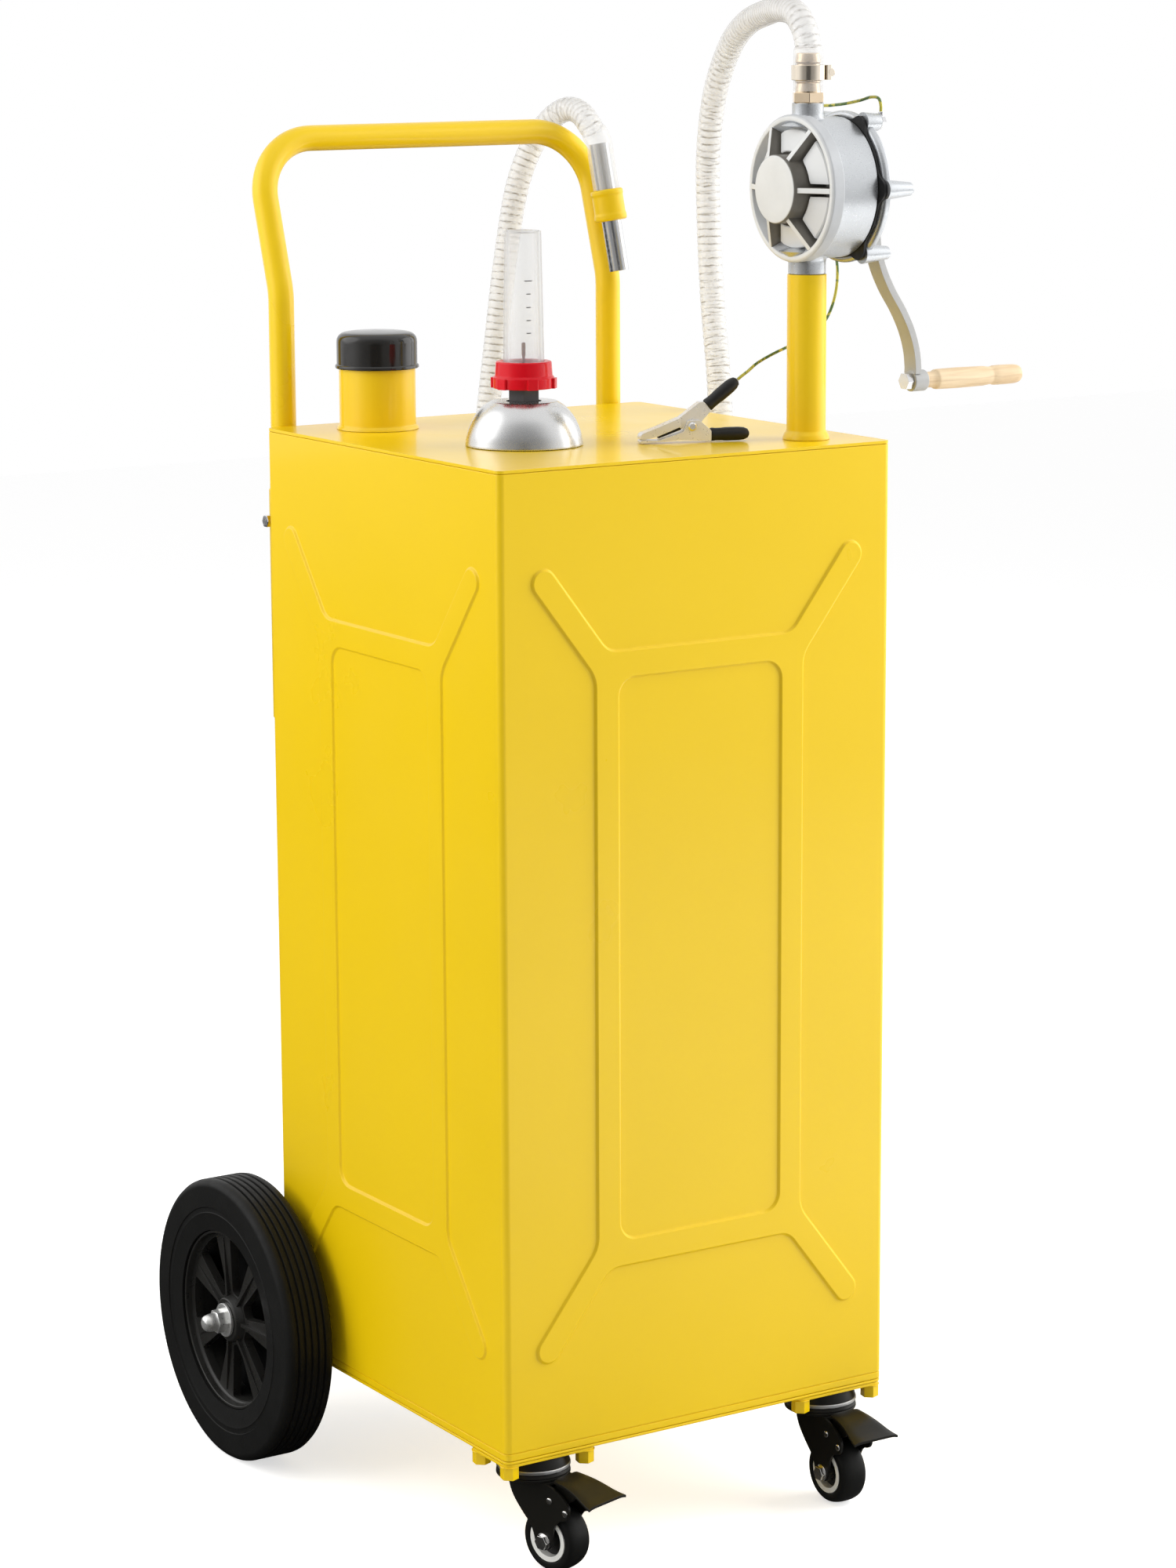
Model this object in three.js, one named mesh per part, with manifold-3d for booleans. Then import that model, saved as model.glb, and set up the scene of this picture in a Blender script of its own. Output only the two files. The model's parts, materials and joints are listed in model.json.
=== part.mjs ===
// Fuel caddy: a square steel tank on two spoked wheels and two braked swivel casters, with a push
// handle, a filler, a level gauge, a hand-cranked rotary pump, a ribbed hose and an earthing clip.
// Millimetres. Origin at the centre of the tank's underside, +X right, +Y to the handle, +Z up.
import * as THREE from 'three';
import Module from 'manifold-3d';

const wasm = await Module();
wasm.setup();

// Clearances
const gap = 0.3; // between separate pieces that seat on each other
const overrun = 2; // how far a cutter, or a joined form, runs past what it meets
const weldReach = 0.0001; // corners closer than this are one corner

// Tank
const tankSide = 380;
const tankTall = 815;
const tankCorner = 6; // upright corner radius
const wrapSheet = 1.5;
const lidPlate = 2.5;
const lidEdge = 1.6; // rounding of the lid's rim
const basePlate = 2.5;
const skirtTall = 10; // flange that locates lid and base inside the wrap
const skirtSheet = 1.2;

// Raised band pressed out of each side, measured from the side's middle
const bandProud = 2;
const bandSlope = 2.4;
const bandWide = 24.5;
const frameHalfWide = 78;
const frameHalfTall = 233;
const frameCorner = 14;
const armWide = 24;
const armReachAcross = 149;
const armReachUp = 316;
const armLean = THREE.MathUtils.degToRad(52.3);

// Filler
const fillerInsetSide = 77; // from the tank's left face
const fillerInsetBack = 57;
const fillerRadius = 32.5;
const fillerWall = 2.5;
const fillerDip = 15; // how far the neck reaches into the tank
const fillerTall = 78; // neck above the lid
const fillerWeldRadius = 35;
const fillerWeldTall = 3;
const capWall = 1.5;
const capSkirt = 22;
const capDome = 9.5;
const capRim = 1.3;
const capRimTall = 2.4;
const capCrown = 5; // thickness over the neck
const capShoulderShares = [[1, 0], [0.97, 0.45], [0.85, 0.8], [0.5, 0.97], [0, 1]];

// Level gauge
const gaugeInsetSide = 113; // from the tank's left face
const gaugeInsetFront = 144;
const bossRadius = 34;
const bossCollar = 24;
const bossTall = 3;
const bossDip = 9;
const domeRadius = 48.5;
const domeTall = 36;
const domeSheet = 2;
const domeRadiusShares = [1, 0.96, 0.85, 0.7, 0.556];
const domeHeightShares = [0, 0.28, 0.62, 0.87, 1];
const stemLower = 20;
const stemUpper = 14;
const stemDip = 15;
const stemTall = 11.7; // slim part that shows between dome and nut
const stemHeadTall = 6;
const stemHeadRadius = 20.5;
const rodRadius = 1.4;
const rodTop = 84; // pointer above the lid
const rodStopRadius = 4;
const rodStopTall = 2.5;
const nutDrop = 1; // how far the nut hangs below the stem's head
const nutLugRadius = 27;
const nutRimRadius = 25.3;
const nutRingRadius = 23.5;
const nutTall = 22;
const nutRimTall = 9;
const nutShoulder = 1.5;
const nutEdgeTall = 0.6;
const nutEdgeWide = 1.5;
const nutLip = 3.5;
const nutLugs = 6;
const nutLugWide = 9;
const tubeFootRadius = 17;
const tubeTopRadius = 15;
const tubeWall = 2.2;
const tubeTall = 120.7;
const tubeEdge = 1.2;
const floatRadius = 18;
const floatTall = 90;
const floatUnder = 85; // top of the float under the lid's face
const floatDome = 9;

// Riser and suction
const riserInsetSide = 51.5; // from the tank's right face
const riserInsetFront = 48.5;
const riserRadius = 16.25;
const riserWall = 2;
const riserTall = 135.7;
const riserWeldRadius = 19.5;
const riserWeldTall = 7;
const suctionRadius = 11;
const suctionWall = 1.6;
const suctionIntoPump = 8;
const footRadius = 14;
const footFrom = 12;
const footTall = 33;

// Pump, measured along its shaft from the riser's axis
const inletTall = 69.7; // foot of the inlet neck below the shaft
const outletTall = 69; // top of the outlet neck above the shaft
const bodyAhead = 5; // front of the body before the riser's axis
const bodyDeep = 34.5;
const bodyRadius = 57.5;
const spigotRadius = 54.7;
const spigotDeep = 7.5;
const coverRimRadius = 60;
const coverRimWide = 5;
const coverRimDeep = 12.5; // the cover's rim stands this far before the body
const coverFloorDeep = 9; // floor behind the rim's face
const coverPitPlate = 4; // plate that is left behind the pit
const coverPitRadius = 47;
const coverHubRadius = 28;
const coverHubProud = 16.5; // hub before the rim's face
const coverHubEdge = 2;
const coverRibs = 6;
const coverRibWide = 4.6;
const coverRibDrop = 3; // crest of a rib below the hub's face
const coverRibRoot = 1; // how deep a rib is rooted under the pit's floor
const chamberRadius = 46;
const chamberLift = 5;
const portRadius = 4;
const portShift = 7; // ports stand behind the necks' middle, clear of the cover's spigot
const neckRadius = 15.5;
const neckTall = 12; // silver neck over the riser
const outletRadius = 13;
const gasketThick = 2.7;
const gasketRadius = 58.5;
const rearRadius = 62;
const rearThick = 6.7;
const rearEdge = 2;
const lobeRadius = 61.5;
const lobeBase = 8.2;
const lobeTip = 5;
const lobeLong = 26.7;
const lobes = 6;
const earthLobeIndex = 1; // the lobe that carries the earthing lug, counted from the front one
const earthLobeLong = 15.7;
const glandSeatRadius = 20;
const glandSeatLong = 6;
const glandSeatFlare = 2;
const glandRadius = 14;
const glandLong = 5.7;
const glandEdge = 1.3;
const rotorRadius = 38;
const vanes = 4;
const vaneWide = 5;
const vaneProud = 1.6;
const shaftRadius = 7;
const shaftProud = 1; // shaft's end past the crank's hub

// Crank
const hubClear = 6; // between the gland and the hub
const hubRadius = 13;
const hubLong = 16;
const barThick = 6;
const barWide = 16;
const barRootIn = 8.5; // middle of the bar behind the hub's inner face
const barEndIn = 3.3; // and behind the eye's inner face
const crankRadius = 164;
const crankReach = 49; // eye's inner face beyond the hub's
const crankEyeRadius = 9;
const crankEyeLong = 14.7;
const barReachShares = [0, 0, 0.034, 0.148, 0.354, 0.628, 0.833, 0.959, 1, 1];
const barDropShares = [-0.085, 0.22, 0.317, 0.415, 0.524, 0.634, 0.738, 0.841, 0.927, 0.963];
const gripRadius = 8.5;
const gripLong = 100;
const gripMouth = 0.6;
const pinRadius = 4;
const pinHeadRadius = 6;
const pinHeadLong = 4;
const pinHeadSunk = 2;
const gripNutAcross = 12.8;
const gripNutLong = 6;
const gripRadiusShares = [0.76, 0.8, 1, 1.03, 0.98, 0.88, 0.98, 0.94];
const gripLengthShares = [0, 0.09, 0.12, 0.35, 0.66, 0.7, 0.74, 0.97];

// Outlet and hose
const barbHexAcross = 24;
const barbHexTall = 8;
const barbStem = 7.5;
const barbRadius = 9.5;
const barbStep = 1.1;
const barbTall = 32;
const barbBore = 6;
const barbSteps = 3;
const clampRadius = 12.75;
const clampBand = 1;
const clampTall = 12;
const clampUp = 10; // above the hex
const clampScrewReach = 4.6;
const clampScrewRadius = 3.6;
const clampScrewLong = 16;
const clampScrewLift = 1;
const hoseLift = 1.2; // end of the hose above the hex
const hoseCrest = 11;
const hoseValley = 10.1;
const hoseBore = 7;
const hoseCuffCrest = 12.2; // where the hose is pushed over the barb
const hoseCuffBore = 10.8;
const hoseCuffLong = 33;
const hoseTailCrest = 11.8; // where it is pushed over the spout
const hoseTailBore = 10.65;
const hoseTailLong = 50;
const hoseTailRun = 42; // straight run on the spout
const hoseRibs = 73;
const hoseSides = 8;
const ribSteps = 20; // steps of the length table for each rib
const runSteps = 3; // steps of a straight run

// Spout at the hose's far end
const spoutX = 153.5;
const spoutBehind = 8; // hidden end behind the tank's rear face
const spoutUp = 231; // and above the lid
const spoutOutward = 11.1; // the mouth from there
const spoutForward = 15.5;
const spoutDrop = 112;
const spoutRadius = 8.75;
const spoutWall = 1.2;
const sleeveRadius = 14.5;
const sleeveLong = 28;
const sleeveFrom = 41; // along the spout from its hidden end
const sleeveEdge = 1.5;

// Handle
const legInset = 24; // leg's axis from the tank's side
const handleRadius = 11;
const handleWall = 2;
const handleLegUp = 113; // bend in the legs above the lid
const handleBarUp = 241;
const handleBarBack = 54; // bar's axis behind the tank
const handleLegBend = 60;
const handleCorner = 53;
const socketRadius = 13.5;
const socketUnder = 55; // top of a socket below the lid
const socketLong = 200;
const handleInto = 180; // how deep a leg stands in its socket
const boltUnder = 27; // bolt below the socket's top
const boltRadius = 3;
const boltHeadAcross = 10;
const boltHeadLong = 6;
const boltNutLong = 5;

// Axle and wheels
const axleBack = 10; // axle behind the tank
const axleZ = 25.5;
const axleRadius = 8;
const axleShoulder = 11;
const axleShoulderLong = 8;
const studRadius = 5.5;
const studLong = 9;
const bracketInset = 40; // from the tank's side
const bracketThick = 5;
const bracketRadius = 15;
const bracketPlate = 1.5;
const bracketFlange = 34;
const bracketTall = 52;
const bracketUp = 5;
const wheelOut = 35; // middle of a wheel outside the tank
const wheelRadius = 126;
const tyreHalf = 23;
const beadRadius = 80.3;
const tyreShoulder = 3;
const treadGrooves = 2;
const treadGrooveWide = 3.4;
const treadGrooveDeep = 2;
const wallRadius = 93; // where the outer wall starts to dish in
const wallDish = 3;
const rimRadius = 80;
const rimWall = 4;
const rimHalf = 18;
const hubOuter = 19;
const hubWaist = 22;
const hubInward = 20.2; // from the wheel's middle
const hubOutward = 17.7;
const webThick = 8;
const webOutward = 2.5;
const spokes = 7;
const spokeAtHub = 5.2; // half widths
const spokeAtRim = 13;
const windowFrom = 24;
const windowTo = 74;
const washerRadius = 15;
const washerThick = 2.5;
const wheelNutAcross = 18.5;
const wheelNutLong = 8.5;
const wheelNutDome = 8;
const nutDomeShares = [[1, 0.5], [0.75, 1.2], [0, 1.5]];

// Casters
const casterInsetSide = 44; // swivel axis from the tank's side
const casterInsetFront = 30;
const casterTurns = { left: THREE.MathUtils.degToRad(16), right: 0 };
const boltAcross = 73;
const boltAlong = 44;
const padPlate = 2.5;
const padEdge = 7.5;
const casterNutAcross = 13.6;
const casterNutTall = 11.2;
const raceRadius = 31;
const raceTall = 7;
const raceRound = 1.6;
const pivotDomeRadius = 28.5;
const pivotDomeTall = 9.2;
const kingpinRadius = 5;
const kingpinTall = 13;
const forkPlate = 2.7;
const forkHalf = 17;
const forkSheet = 2.5;
const trail = 26;
const casterRoom = 22.5; // between the fork's crown and the tyre
const casterRadius = 28;
const casterHalf = 12.5;
const casterCrown = 3.6;
const casterTreadShares = [[-1, 1], [-0.72, 0.333], [-0.3, 0], [0.3, 0], [0.72, 0.333], [1, 1]];
const casterHubRadius = 18.7;
const casterHubRecess = 3;
const casterHubBoss = 8;
const casterAxleRadius = 4;
const casterNutHead = 12; // across flats of the axle bolt
const casterNutHeadLong = 4;
const pedalPinAhead = 7.5; // of the roller's axle
const pedalPinShare = 0.6; // of the room over the tyre
const pedalPinRadius = 3;
const pedalBarrel = 5.5;
const pedalHalf = 11;
const pedalSheet = 2.4;
const pedalHeelAhead = 2.5; // of its pin
const pedalHeelRise = 18.5; // above its pin
const pedalLong = 46;
const pedalFall = 11;
const pedalFromHalf = 15;
const pedalToHalf = 23;
// Side outline of the fork: forward in shares of the trail, down in shares of the axle's drop
// below the crown
const forkOutlineShares = [
  [-0.54, 0], [1.19, 0], [1.77, 0.12], [2.12, 0.3], [2.04, 0.525], [1.615, 0.575], [1.42, 0.733],
  [1.33, 1.03], [1, 1.18], [0.67, 1.03], [0.5, 0.782], [0.04, 0.555], [-0.35, 0.32],
];
const forkHeelIndex = 9; // where the outline starts to climb behind the wheel

// Earthing clip, laid on the lid: along the clip from its nose, and up from the lid
const clipX = 4.7;
const clipY = -93;
const clipTurn = THREE.MathUtils.degToRad(-19.9);
const clipHalf = 6;
const clipLie = 0.6; // lower grip above the lid
const clipInner = 4.5;
const clipPivotAlong = 43.7;
const clipPivotUp = 13.6;
const clipRivet = 2.2;
const clipRivetHead = 3.6;
const clipRivetProud = 1.3;
const clipShank = 3.1;
const clipShankLong = 17;
const clipGripRadius = 5.6;
const clipGripLong = 33;
const clipGripNose = 1.8;
// Outlines of the clip in shares of its pivot's place
const lowerJawShares = [
  [0, 0.03], [0.755, 0.22], [1.373, 0.088], [1.373, 0.72], [1.144, 1.368], [0.915, 1.368], [0.838, 0.706],
  [0.343, 0.206], [0.092, 0.243], [0, 0.243],
];
const lowerCavityShares = [[0.686, 0.36], [1.27, 0.228], [1.27, 1.544], [0.686, 1.544]];
const upperJawShares = [
  [0, 0.287], [0.092, 0.287], [0.343, 0.456], [0.767, 0.985], [0.767, 1.537], [0.327, 0.978],
  [0.046, 0.662], [0, 0.515],
];
const upperHeelShares = [
  [0.755, 0.941], [0.865, 0.779], [0.938, 0.588], [1.053, 0.574], [1.135, 0.809], [1.201, 1.324],
  [1.378, 1.912], [1.243, 2.456], [1.156, 2.463], [0.755, 1.522],
];
const lowerJawEndIndex = 2; // corners where the end faces start that carry the grips
const upperHeelEndIndex = 6;

// Earthing wire
const wireRadius = 1.25;
const wireSides = 6;
const wireSteps = 40;
const wireLead = 5; // straight end behind the clip's grip
const wireClear = 0.4; // between the wire's end and the grip that swings past it
const lugRadius = 6;
const lugThick = 1.4;
const lugBarrel = 2.4;
const lugReach = 8;
const lugHeadAcross = 8.5;
const lugHeadLong = 3.5;

// Facets round the turned pieces
const fineSides = 18;
const wideSides = 24;
const midSides = 14;
const rollerSides = 16;
const smallSides = 12;
const tinySides = 8;
const handleSides = 10;
const handleBoreSides = 5;
const hexSides = 6;
const cornerSteps = 2;
const armSteps = 3;
const barSteps = 10;
const legBendSteps = 2;
const handleCornerSteps = 4;
const earSteps = 8;

// Routes of the hanging hose and of the wire, between their fittings
const hoseRoute = [
  [138.6, -139, 1143], [140.5, -128.5, 1155], [146, -110, 1162.5], [156, -76, 1165], [169, -41, 1162],
  [186, 15, 1152], [200, 60, 1132], [209, 96, 1092], [216, 117, 1040], [219, 121, 985], [217, 112, 910],
  [210, 91, 838], [207, 85, 790], [212, 113, 720], [216, 160, 650], [212, 203, 580], [196, 231, 510],
  [178, 242, 430], [160, 252, 340], [135, 262, 250], [100, 271, 196], [62, 278, 185], [30, 284, 215],
  [18, 288, 285], [24, 290, 390], [42, 290, 510], [63, 290, 630], [82, 290, 740], [98, 290, 850],
  [112, 290, 945], [126, 290, 1010], [139, 284, 1045], [149, 268, 1067], [152.5, 248, 1075],
  [152, 226, 1072], [150, 208, 1062],
];
const wireRoute = [
  [189.7, -172, 1088], [189.8, -169, 1093], [189.3, -160, 1094], [187, -147, 1091], [182, -132, 1088],
  [178, -119, 1086.5], [177, -106, 1085], [179, -92, 1073], [183, -77, 1048], [188, -68, 1020],
  [193, -70, 995], [200, -80, 978], [203.5, -91, 962], [201, -98, 945], [194, -103, 925], [181, -108, 908],
  [160, -112, 896], [140, -114, 889.5], [122, -116, 884], [104, -119, 877.5], [92.5, -122.8, 872],
];

const sideways = new THREE.Vector3(1, 0, 0);
const backwards = new THREE.Vector3(0, 1, 0);
const upwards = new THREE.Vector3(0, 0, 1);
const turn = Math.PI * 2;

// Places that several pieces share
const lidTop = tankTall;
const lidUnder = tankTall - lidPlate;
const tankHalf = tankSide / 2;
const fillerX = fillerInsetSide - tankHalf;
const fillerY = tankHalf - fillerInsetBack;
const gaugeX = gaugeInsetSide - tankHalf;
const gaugeY = gaugeInsetFront - tankHalf;
const riserX = tankHalf - riserInsetSide;
const riserY = riserInsetFront - tankHalf;
const riserTop = lidTop + gap + riserTall;
const neckFrom = riserTop + gap;
const pumpZ = neckFrom + inletTall;

// Numbers a geometry's corners so that corners in one place share a number
function cornerNumbers(position) {
  const cells = new Map();
  const places = [];
  const numbers = [];
  const here = new THREE.Vector3();
  const cellOf = (value) => Math.floor(value / (weldReach * 2));
  const near = [0, -1, 1];
  for (let i = 0; i < position.count; i += 1) {
    here.fromBufferAttribute(position, i);
    const cell = here.toArray().map(cellOf);
    let found = -1;
    near.forEach((dx) => near.forEach((dy) => near.forEach((dz) => {
      if (found < 0) {
        const kept = cells.get(`${cell[0] + dx} ${cell[1] + dy} ${cell[2] + dz}`) ?? [];
        found = kept.find((number) => places[number].distanceTo(here) < weldReach) ?? -1;
      }
    })));
    if (found < 0) {
      found = places.length;
      places.push(here.clone());
      const key = cell.join(' ');
      cells.set(key, [...(cells.get(key) ?? []), found]);
    }
    numbers.push(found);
  }
  return { places, numbers };
}

// Welds a geometry's shared corners and turns its faces outwards
function weld(source) {
  const { places, numbers } = cornerNumbers(source.attributes.position);
  const order = source.index ? Array.from(source.index.array) : numbers.map((_, i) => i);
  const index = [];
  let volume = 0;
  for (let i = 0; i < order.length; i += 3) {
    const [p, q, r] = [0, 1, 2].map((step) => numbers[order[i + step]]);
    if (p === q || q === r || r === p) {
      continue;
    }
    index.push(p, q, r);
    volume += places[p].dot(places[q].clone().cross(places[r]));
  }
  if (volume < 0) {
    for (let i = 0; i < index.length; i += 3) {
      [index[i + 1], index[i + 2]] = [index[i + 2], index[i + 1]];
    }
  }
  return meshOf(places, index);
}

function toManifold(geometry) {
  const welded = weld(geometry);
  const vertProperties = new Float32Array(welded.attributes.position.array);
  const triVerts = new Uint32Array(welded.index.array);
  return new wasm.Manifold(new wasm.Mesh({ numProp: 3, vertProperties, triVerts }));
}

function toGeometry(manifold) {
  const mesh = manifold.getMesh();
  const geometry = new THREE.BufferGeometry();
  geometry.setAttribute('position', new THREE.BufferAttribute(new Float32Array(mesh.vertProperties), 3));
  geometry.setIndex(new THREE.BufferAttribute(new Uint32Array(mesh.triVerts), 1));
  return geometry;
}

function join(first, ...rest) {
  return toGeometry(rest.reduce((sum, piece) => sum.add(toManifold(piece)), toManifold(first)));
}

function cut(first, ...rest) {
  return toGeometry(rest.reduce((left, piece) => left.subtract(toManifold(piece)), toManifold(first)));
}

// Turned shapes: profiles are [radius, height] and run along +Z, or along +X
function revolve(profile, sides) {
  const points = profile.map(([radius, height]) => new THREE.Vector2(radius, height));
  return new THREE.LatheGeometry(points, sides).rotateX(Math.PI / 2);
}

function revolveRing(profile, sides) {
  return revolve([...profile, profile[0]], sides);
}

function revolveX(profile, sides) {
  return revolve(profile, sides).rotateY(Math.PI / 2);
}

function revolveRingX(profile, sides) {
  return revolveRing(profile, sides).rotateY(Math.PI / 2);
}

function rod(radius, from, to, sides) {
  return revolve([[0, from], [radius, from], [radius, to], [0, to]], sides);
}

function rodX(radius, from, to, sides) {
  return rod(radius, from, to, sides).rotateY(Math.PI / 2);
}

function pipe(outer, inner, from, to, sides) {
  return revolveRing([[inner, from], [outer, from], [outer, to], [inner, to]], sides);
}

function block(fromX, toX, fromY, toY, fromZ, toZ) {
  const box = new THREE.BoxGeometry(toX - fromX, toY - fromY, toZ - fromZ);
  return box.translate((fromX + toX) / 2, (fromY + toY) / 2, (fromZ + toZ) / 2);
}

// Flat outlines pushed through a thickness along Z, X or Y
function shapeOf(points, holes = []) {
  const shape = new THREE.Shape(points.map(([across, up]) => new THREE.Vector2(across, up)));
  shape.holes = holes.map((hole) => (
    new THREE.Path(hole.map(([across, up]) => new THREE.Vector2(across, up)))
  ));
  return shape;
}

function plateZ(points, from, to, holes = []) {
  const depth = to - from;
  const solid = new THREE.ExtrudeGeometry(shapeOf(points, holes), { depth, bevelEnabled: false });
  return solid.translate(0, 0, from);
}

function plateX(points, from, to, holes = []) {
  const turned = new THREE.Matrix4().makeBasis(backwards, upwards, sideways);
  return plateZ(points, from, to, holes).applyMatrix4(turned);
}

function plateY(points, from, to, holes = []) {
  const turned = new THREE.Matrix4().makeBasis(sideways, upwards, backwards.clone().negate());
  return plateZ(points, -to, -from, holes).applyMatrix4(turned);
}

function hexagon(across) {
  const corner = across / 2 / Math.cos(Math.PI / hexSides);
  return Array.from({ length: hexSides }, (_, i) => {
    const angle = (turn * i) / hexSides;
    return [corner * Math.cos(angle), corner * Math.sin(angle)];
  });
}

// Corners of a rounded rectangle, counted anticlockwise
function roundRectangle(halfWide, halfTall, radius, steps) {
  const points = [];
  const centres = [[1, 1], [-1, 1], [-1, -1], [1, -1]];
  centres.forEach(([signX, signY], quarter) => {
    for (let i = 0; i <= steps; i += 1) {
      const angle = (turn / 4) * (quarter + i / steps);
      points.push([
        signX * (halfWide - radius) + radius * Math.cos(angle),
        signY * (halfTall - radius) + radius * Math.sin(angle),
      ]);
    }
  });
  return points;
}

// Skin over a row of rings with equal numbers of points, closed with a fan at both ends
function loft(rings) {
  const sides = rings[0].length;
  const corners = rings.flat();
  const index = [];
  for (let row = 0; row < rings.length - 1; row += 1) {
    for (let i = 0; i < sides; i += 1) {
      const j = (i + 1) % sides;
      const [p, q, r, s] = [row * sides + i, row * sides + j, (row + 1) * sides + j, (row + 1) * sides + i];
      index.push(p, q, r, p, r, s);
    }
  }
  [[0, 1], [rings.length - 1, -1]].forEach(([row, facing]) => {
    const middle = corners.length;
    const sum = rings[row].reduce((total, point) => total.add(point), new THREE.Vector3());
    corners.push(sum.divideScalar(sides));
    for (let i = 0; i < sides; i += 1) {
      const pair = [row * sides + i, row * sides + ((i + 1) % sides)];
      index.push(middle, ...(facing > 0 ? pair.reverse() : pair));
    }
  });
  return meshOf(corners, index);
}

function meshOf(corners, index) {
  const geometry = new THREE.BufferGeometry();
  const numbers = corners.flatMap((point) => point.toArray());
  geometry.setAttribute('position', new THREE.Float32BufferAttribute(numbers, 3));
  geometry.setIndex(index);
  return geometry;
}

function ringAt(points, height) {
  return points.map(([across, along]) => new THREE.Vector3(across, along, height));
}

// A line through chosen stations, for tubes
class StationLine extends THREE.Curve {
  constructor(stations) {
    super();
    this.stations = stations;
  }

  stationAt(u) {
    return Math.round(u * (this.stations.length - 1));
  }

  getPointAt(u) {
    return this.stations[this.stationAt(u)].clone();
  }

  getTangentAt(u) {
    const at = this.stationAt(u);
    const last = this.stations.length - 1;
    const before = this.stations[Math.min(at + 1, last)].clone().sub(this.stations[Math.min(at, last - 1)]);
    const after = this.stations[Math.max(at, 1)].clone().sub(this.stations[Math.max(at - 1, 0)]);
    return before.normalize().add(after.normalize()).normalize();
  }
}

function tubeThrough(stations, outer, inner, outerSides, innerSides) {
  const holes = inner > 0 ? [circle(inner, innerSides)] : [];
  return new THREE.ExtrudeGeometry(shapeOf(circle(outer, outerSides), holes), {
    steps: stations.length - 1,
    extrudePath: new StationLine(stations),
  });
}

function circle(radius, sides) {
  return Array.from({ length: sides }, (_, i) => {
    const angle = (turn * (i + 1 / 2)) / sides;
    return [radius * Math.cos(angle), radius * Math.sin(angle)];
  });
}

// Stations of a line with its corners rounded
function roundedLine(corners, radii, steps) {
  const stations = [corners[0].clone()];
  for (let i = 1; i < corners.length - 1; i += 1) {
    const before = corners[i - 1].clone().sub(corners[i]).normalize();
    const after = corners[i + 1].clone().sub(corners[i]).normalize();
    const bend = Math.PI - before.angleTo(after);
    const bisector = before.clone().add(after).normalize();
    const centre = corners[i].clone().addScaledVector(bisector, radii[i - 1] / Math.cos(bend / 2));
    const start = corners[i].clone().addScaledVector(before, radii[i - 1] * Math.tan(bend / 2)).sub(centre);
    const end = corners[i].clone().addScaledVector(after, radii[i - 1] * Math.tan(bend / 2)).sub(centre);
    const axis = start.clone().cross(end).normalize();
    for (let step = 0; step <= steps[i - 1]; step += 1) {
      const spoke = start.clone().applyAxisAngle(axis, (bend * step) / steps[i - 1]);
      stations.push(centre.clone().add(spoke));
    }
  }
  stations.push(corners[corners.length - 1].clone());
  return stations;
}

function turnTo(geometry, direction, origin) {
  const turned = new THREE.Quaternion().setFromUnitVectors(upwards, direction);
  return geometry.applyQuaternion(turned).translate(origin.x, origin.y, origin.z);
}

// Materials
const looks = {
  yellowPaint: { color: 0xf2cf1f, roughness: 0.35, metalness: 0 },
  blackPlastic: { color: 0x191a1c, roughness: 0.4, metalness: 0 },
  blackRubber: { color: 0x1d1d1d, roughness: 0.75, metalness: 0 },
  blackSteel: { color: 0x1b1a17, roughness: 0.35, metalness: 0.6 },
  castAluminium: { color: 0xc4c9ce, roughness: 0.4, metalness: 0.8 },
  whiteAluminium: { color: 0xdcdcd8, roughness: 0.5, metalness: 0.5 },
  zinc: { color: 0xb9bcc0, roughness: 0.3, metalness: 0.9 },
  brass: { color: 0xc9a35a, roughness: 0.25, metalness: 1 },
  clearPlastic: { color: 0xeef0f1, roughness: 0.15, metalness: 0 },
  redPlastic: { color: 0xd3142b, roughness: 0.35, metalness: 0 },
  silverDome: { color: 0xc8c9cb, roughness: 0.3, metalness: 0.7 },
  greyMetal: { color: 0x5f5e60, roughness: 0.5, metalness: 0.5 },
  wood: { color: 0xe3c497, roughness: 0.6, metalness: 0 },
  whiteNylon: { color: 0xc9c9c4, roughness: 0.5, metalness: 0 },
  wireJacket: { color: 0x8f9a5a, roughness: 0.5, metalness: 0 },
};

const caddy = new THREE.Group();

function piece(parent, name, geometry, look) {
  const mesh = new THREE.Mesh(weld(geometry), new THREE.MeshStandardMaterial(looks[look]));
  mesh.name = name;
  parent.add(mesh);
  return mesh;
}

// Outline of one side's raised band: a tall frame with an arm running out from each corner
function bandOutline() {
  const outerWide = frameHalfWide + bandWide;
  const outerTall = frameHalfTall + bandWide;
  const along = [Math.cos(armLean), Math.sin(armLean)];
  const across = [along[1] * (armWide / 2), -along[0] * (armWide / 2)];
  const lower = [armReachAcross + across[0], armReachUp + across[1]];
  const upper = [armReachAcross - across[0], armReachUp - across[1]];
  const quarter = [[outerWide, lower[1] - ((lower[0] - outerWide) * along[1]) / along[0]]];
  for (let i = 0; i <= armSteps; i += 1) {
    const angle = armLean - turn / 4 + (Math.PI * i) / armSteps;
    quarter.push([
      armReachAcross + (armWide / 2) * Math.cos(angle),
      armReachUp + (armWide / 2) * Math.sin(angle),
    ]);
  }
  quarter.push([upper[0] - ((upper[1] - outerTall) * along[0]) / along[1], outerTall]);
  const mirrored = quarter.map(([x, z]) => [-x, z]).reverse();
  const top = [...quarter, ...mirrored];
  return [...top, ...top.map(([x, z]) => [-x, -z])];
}

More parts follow.
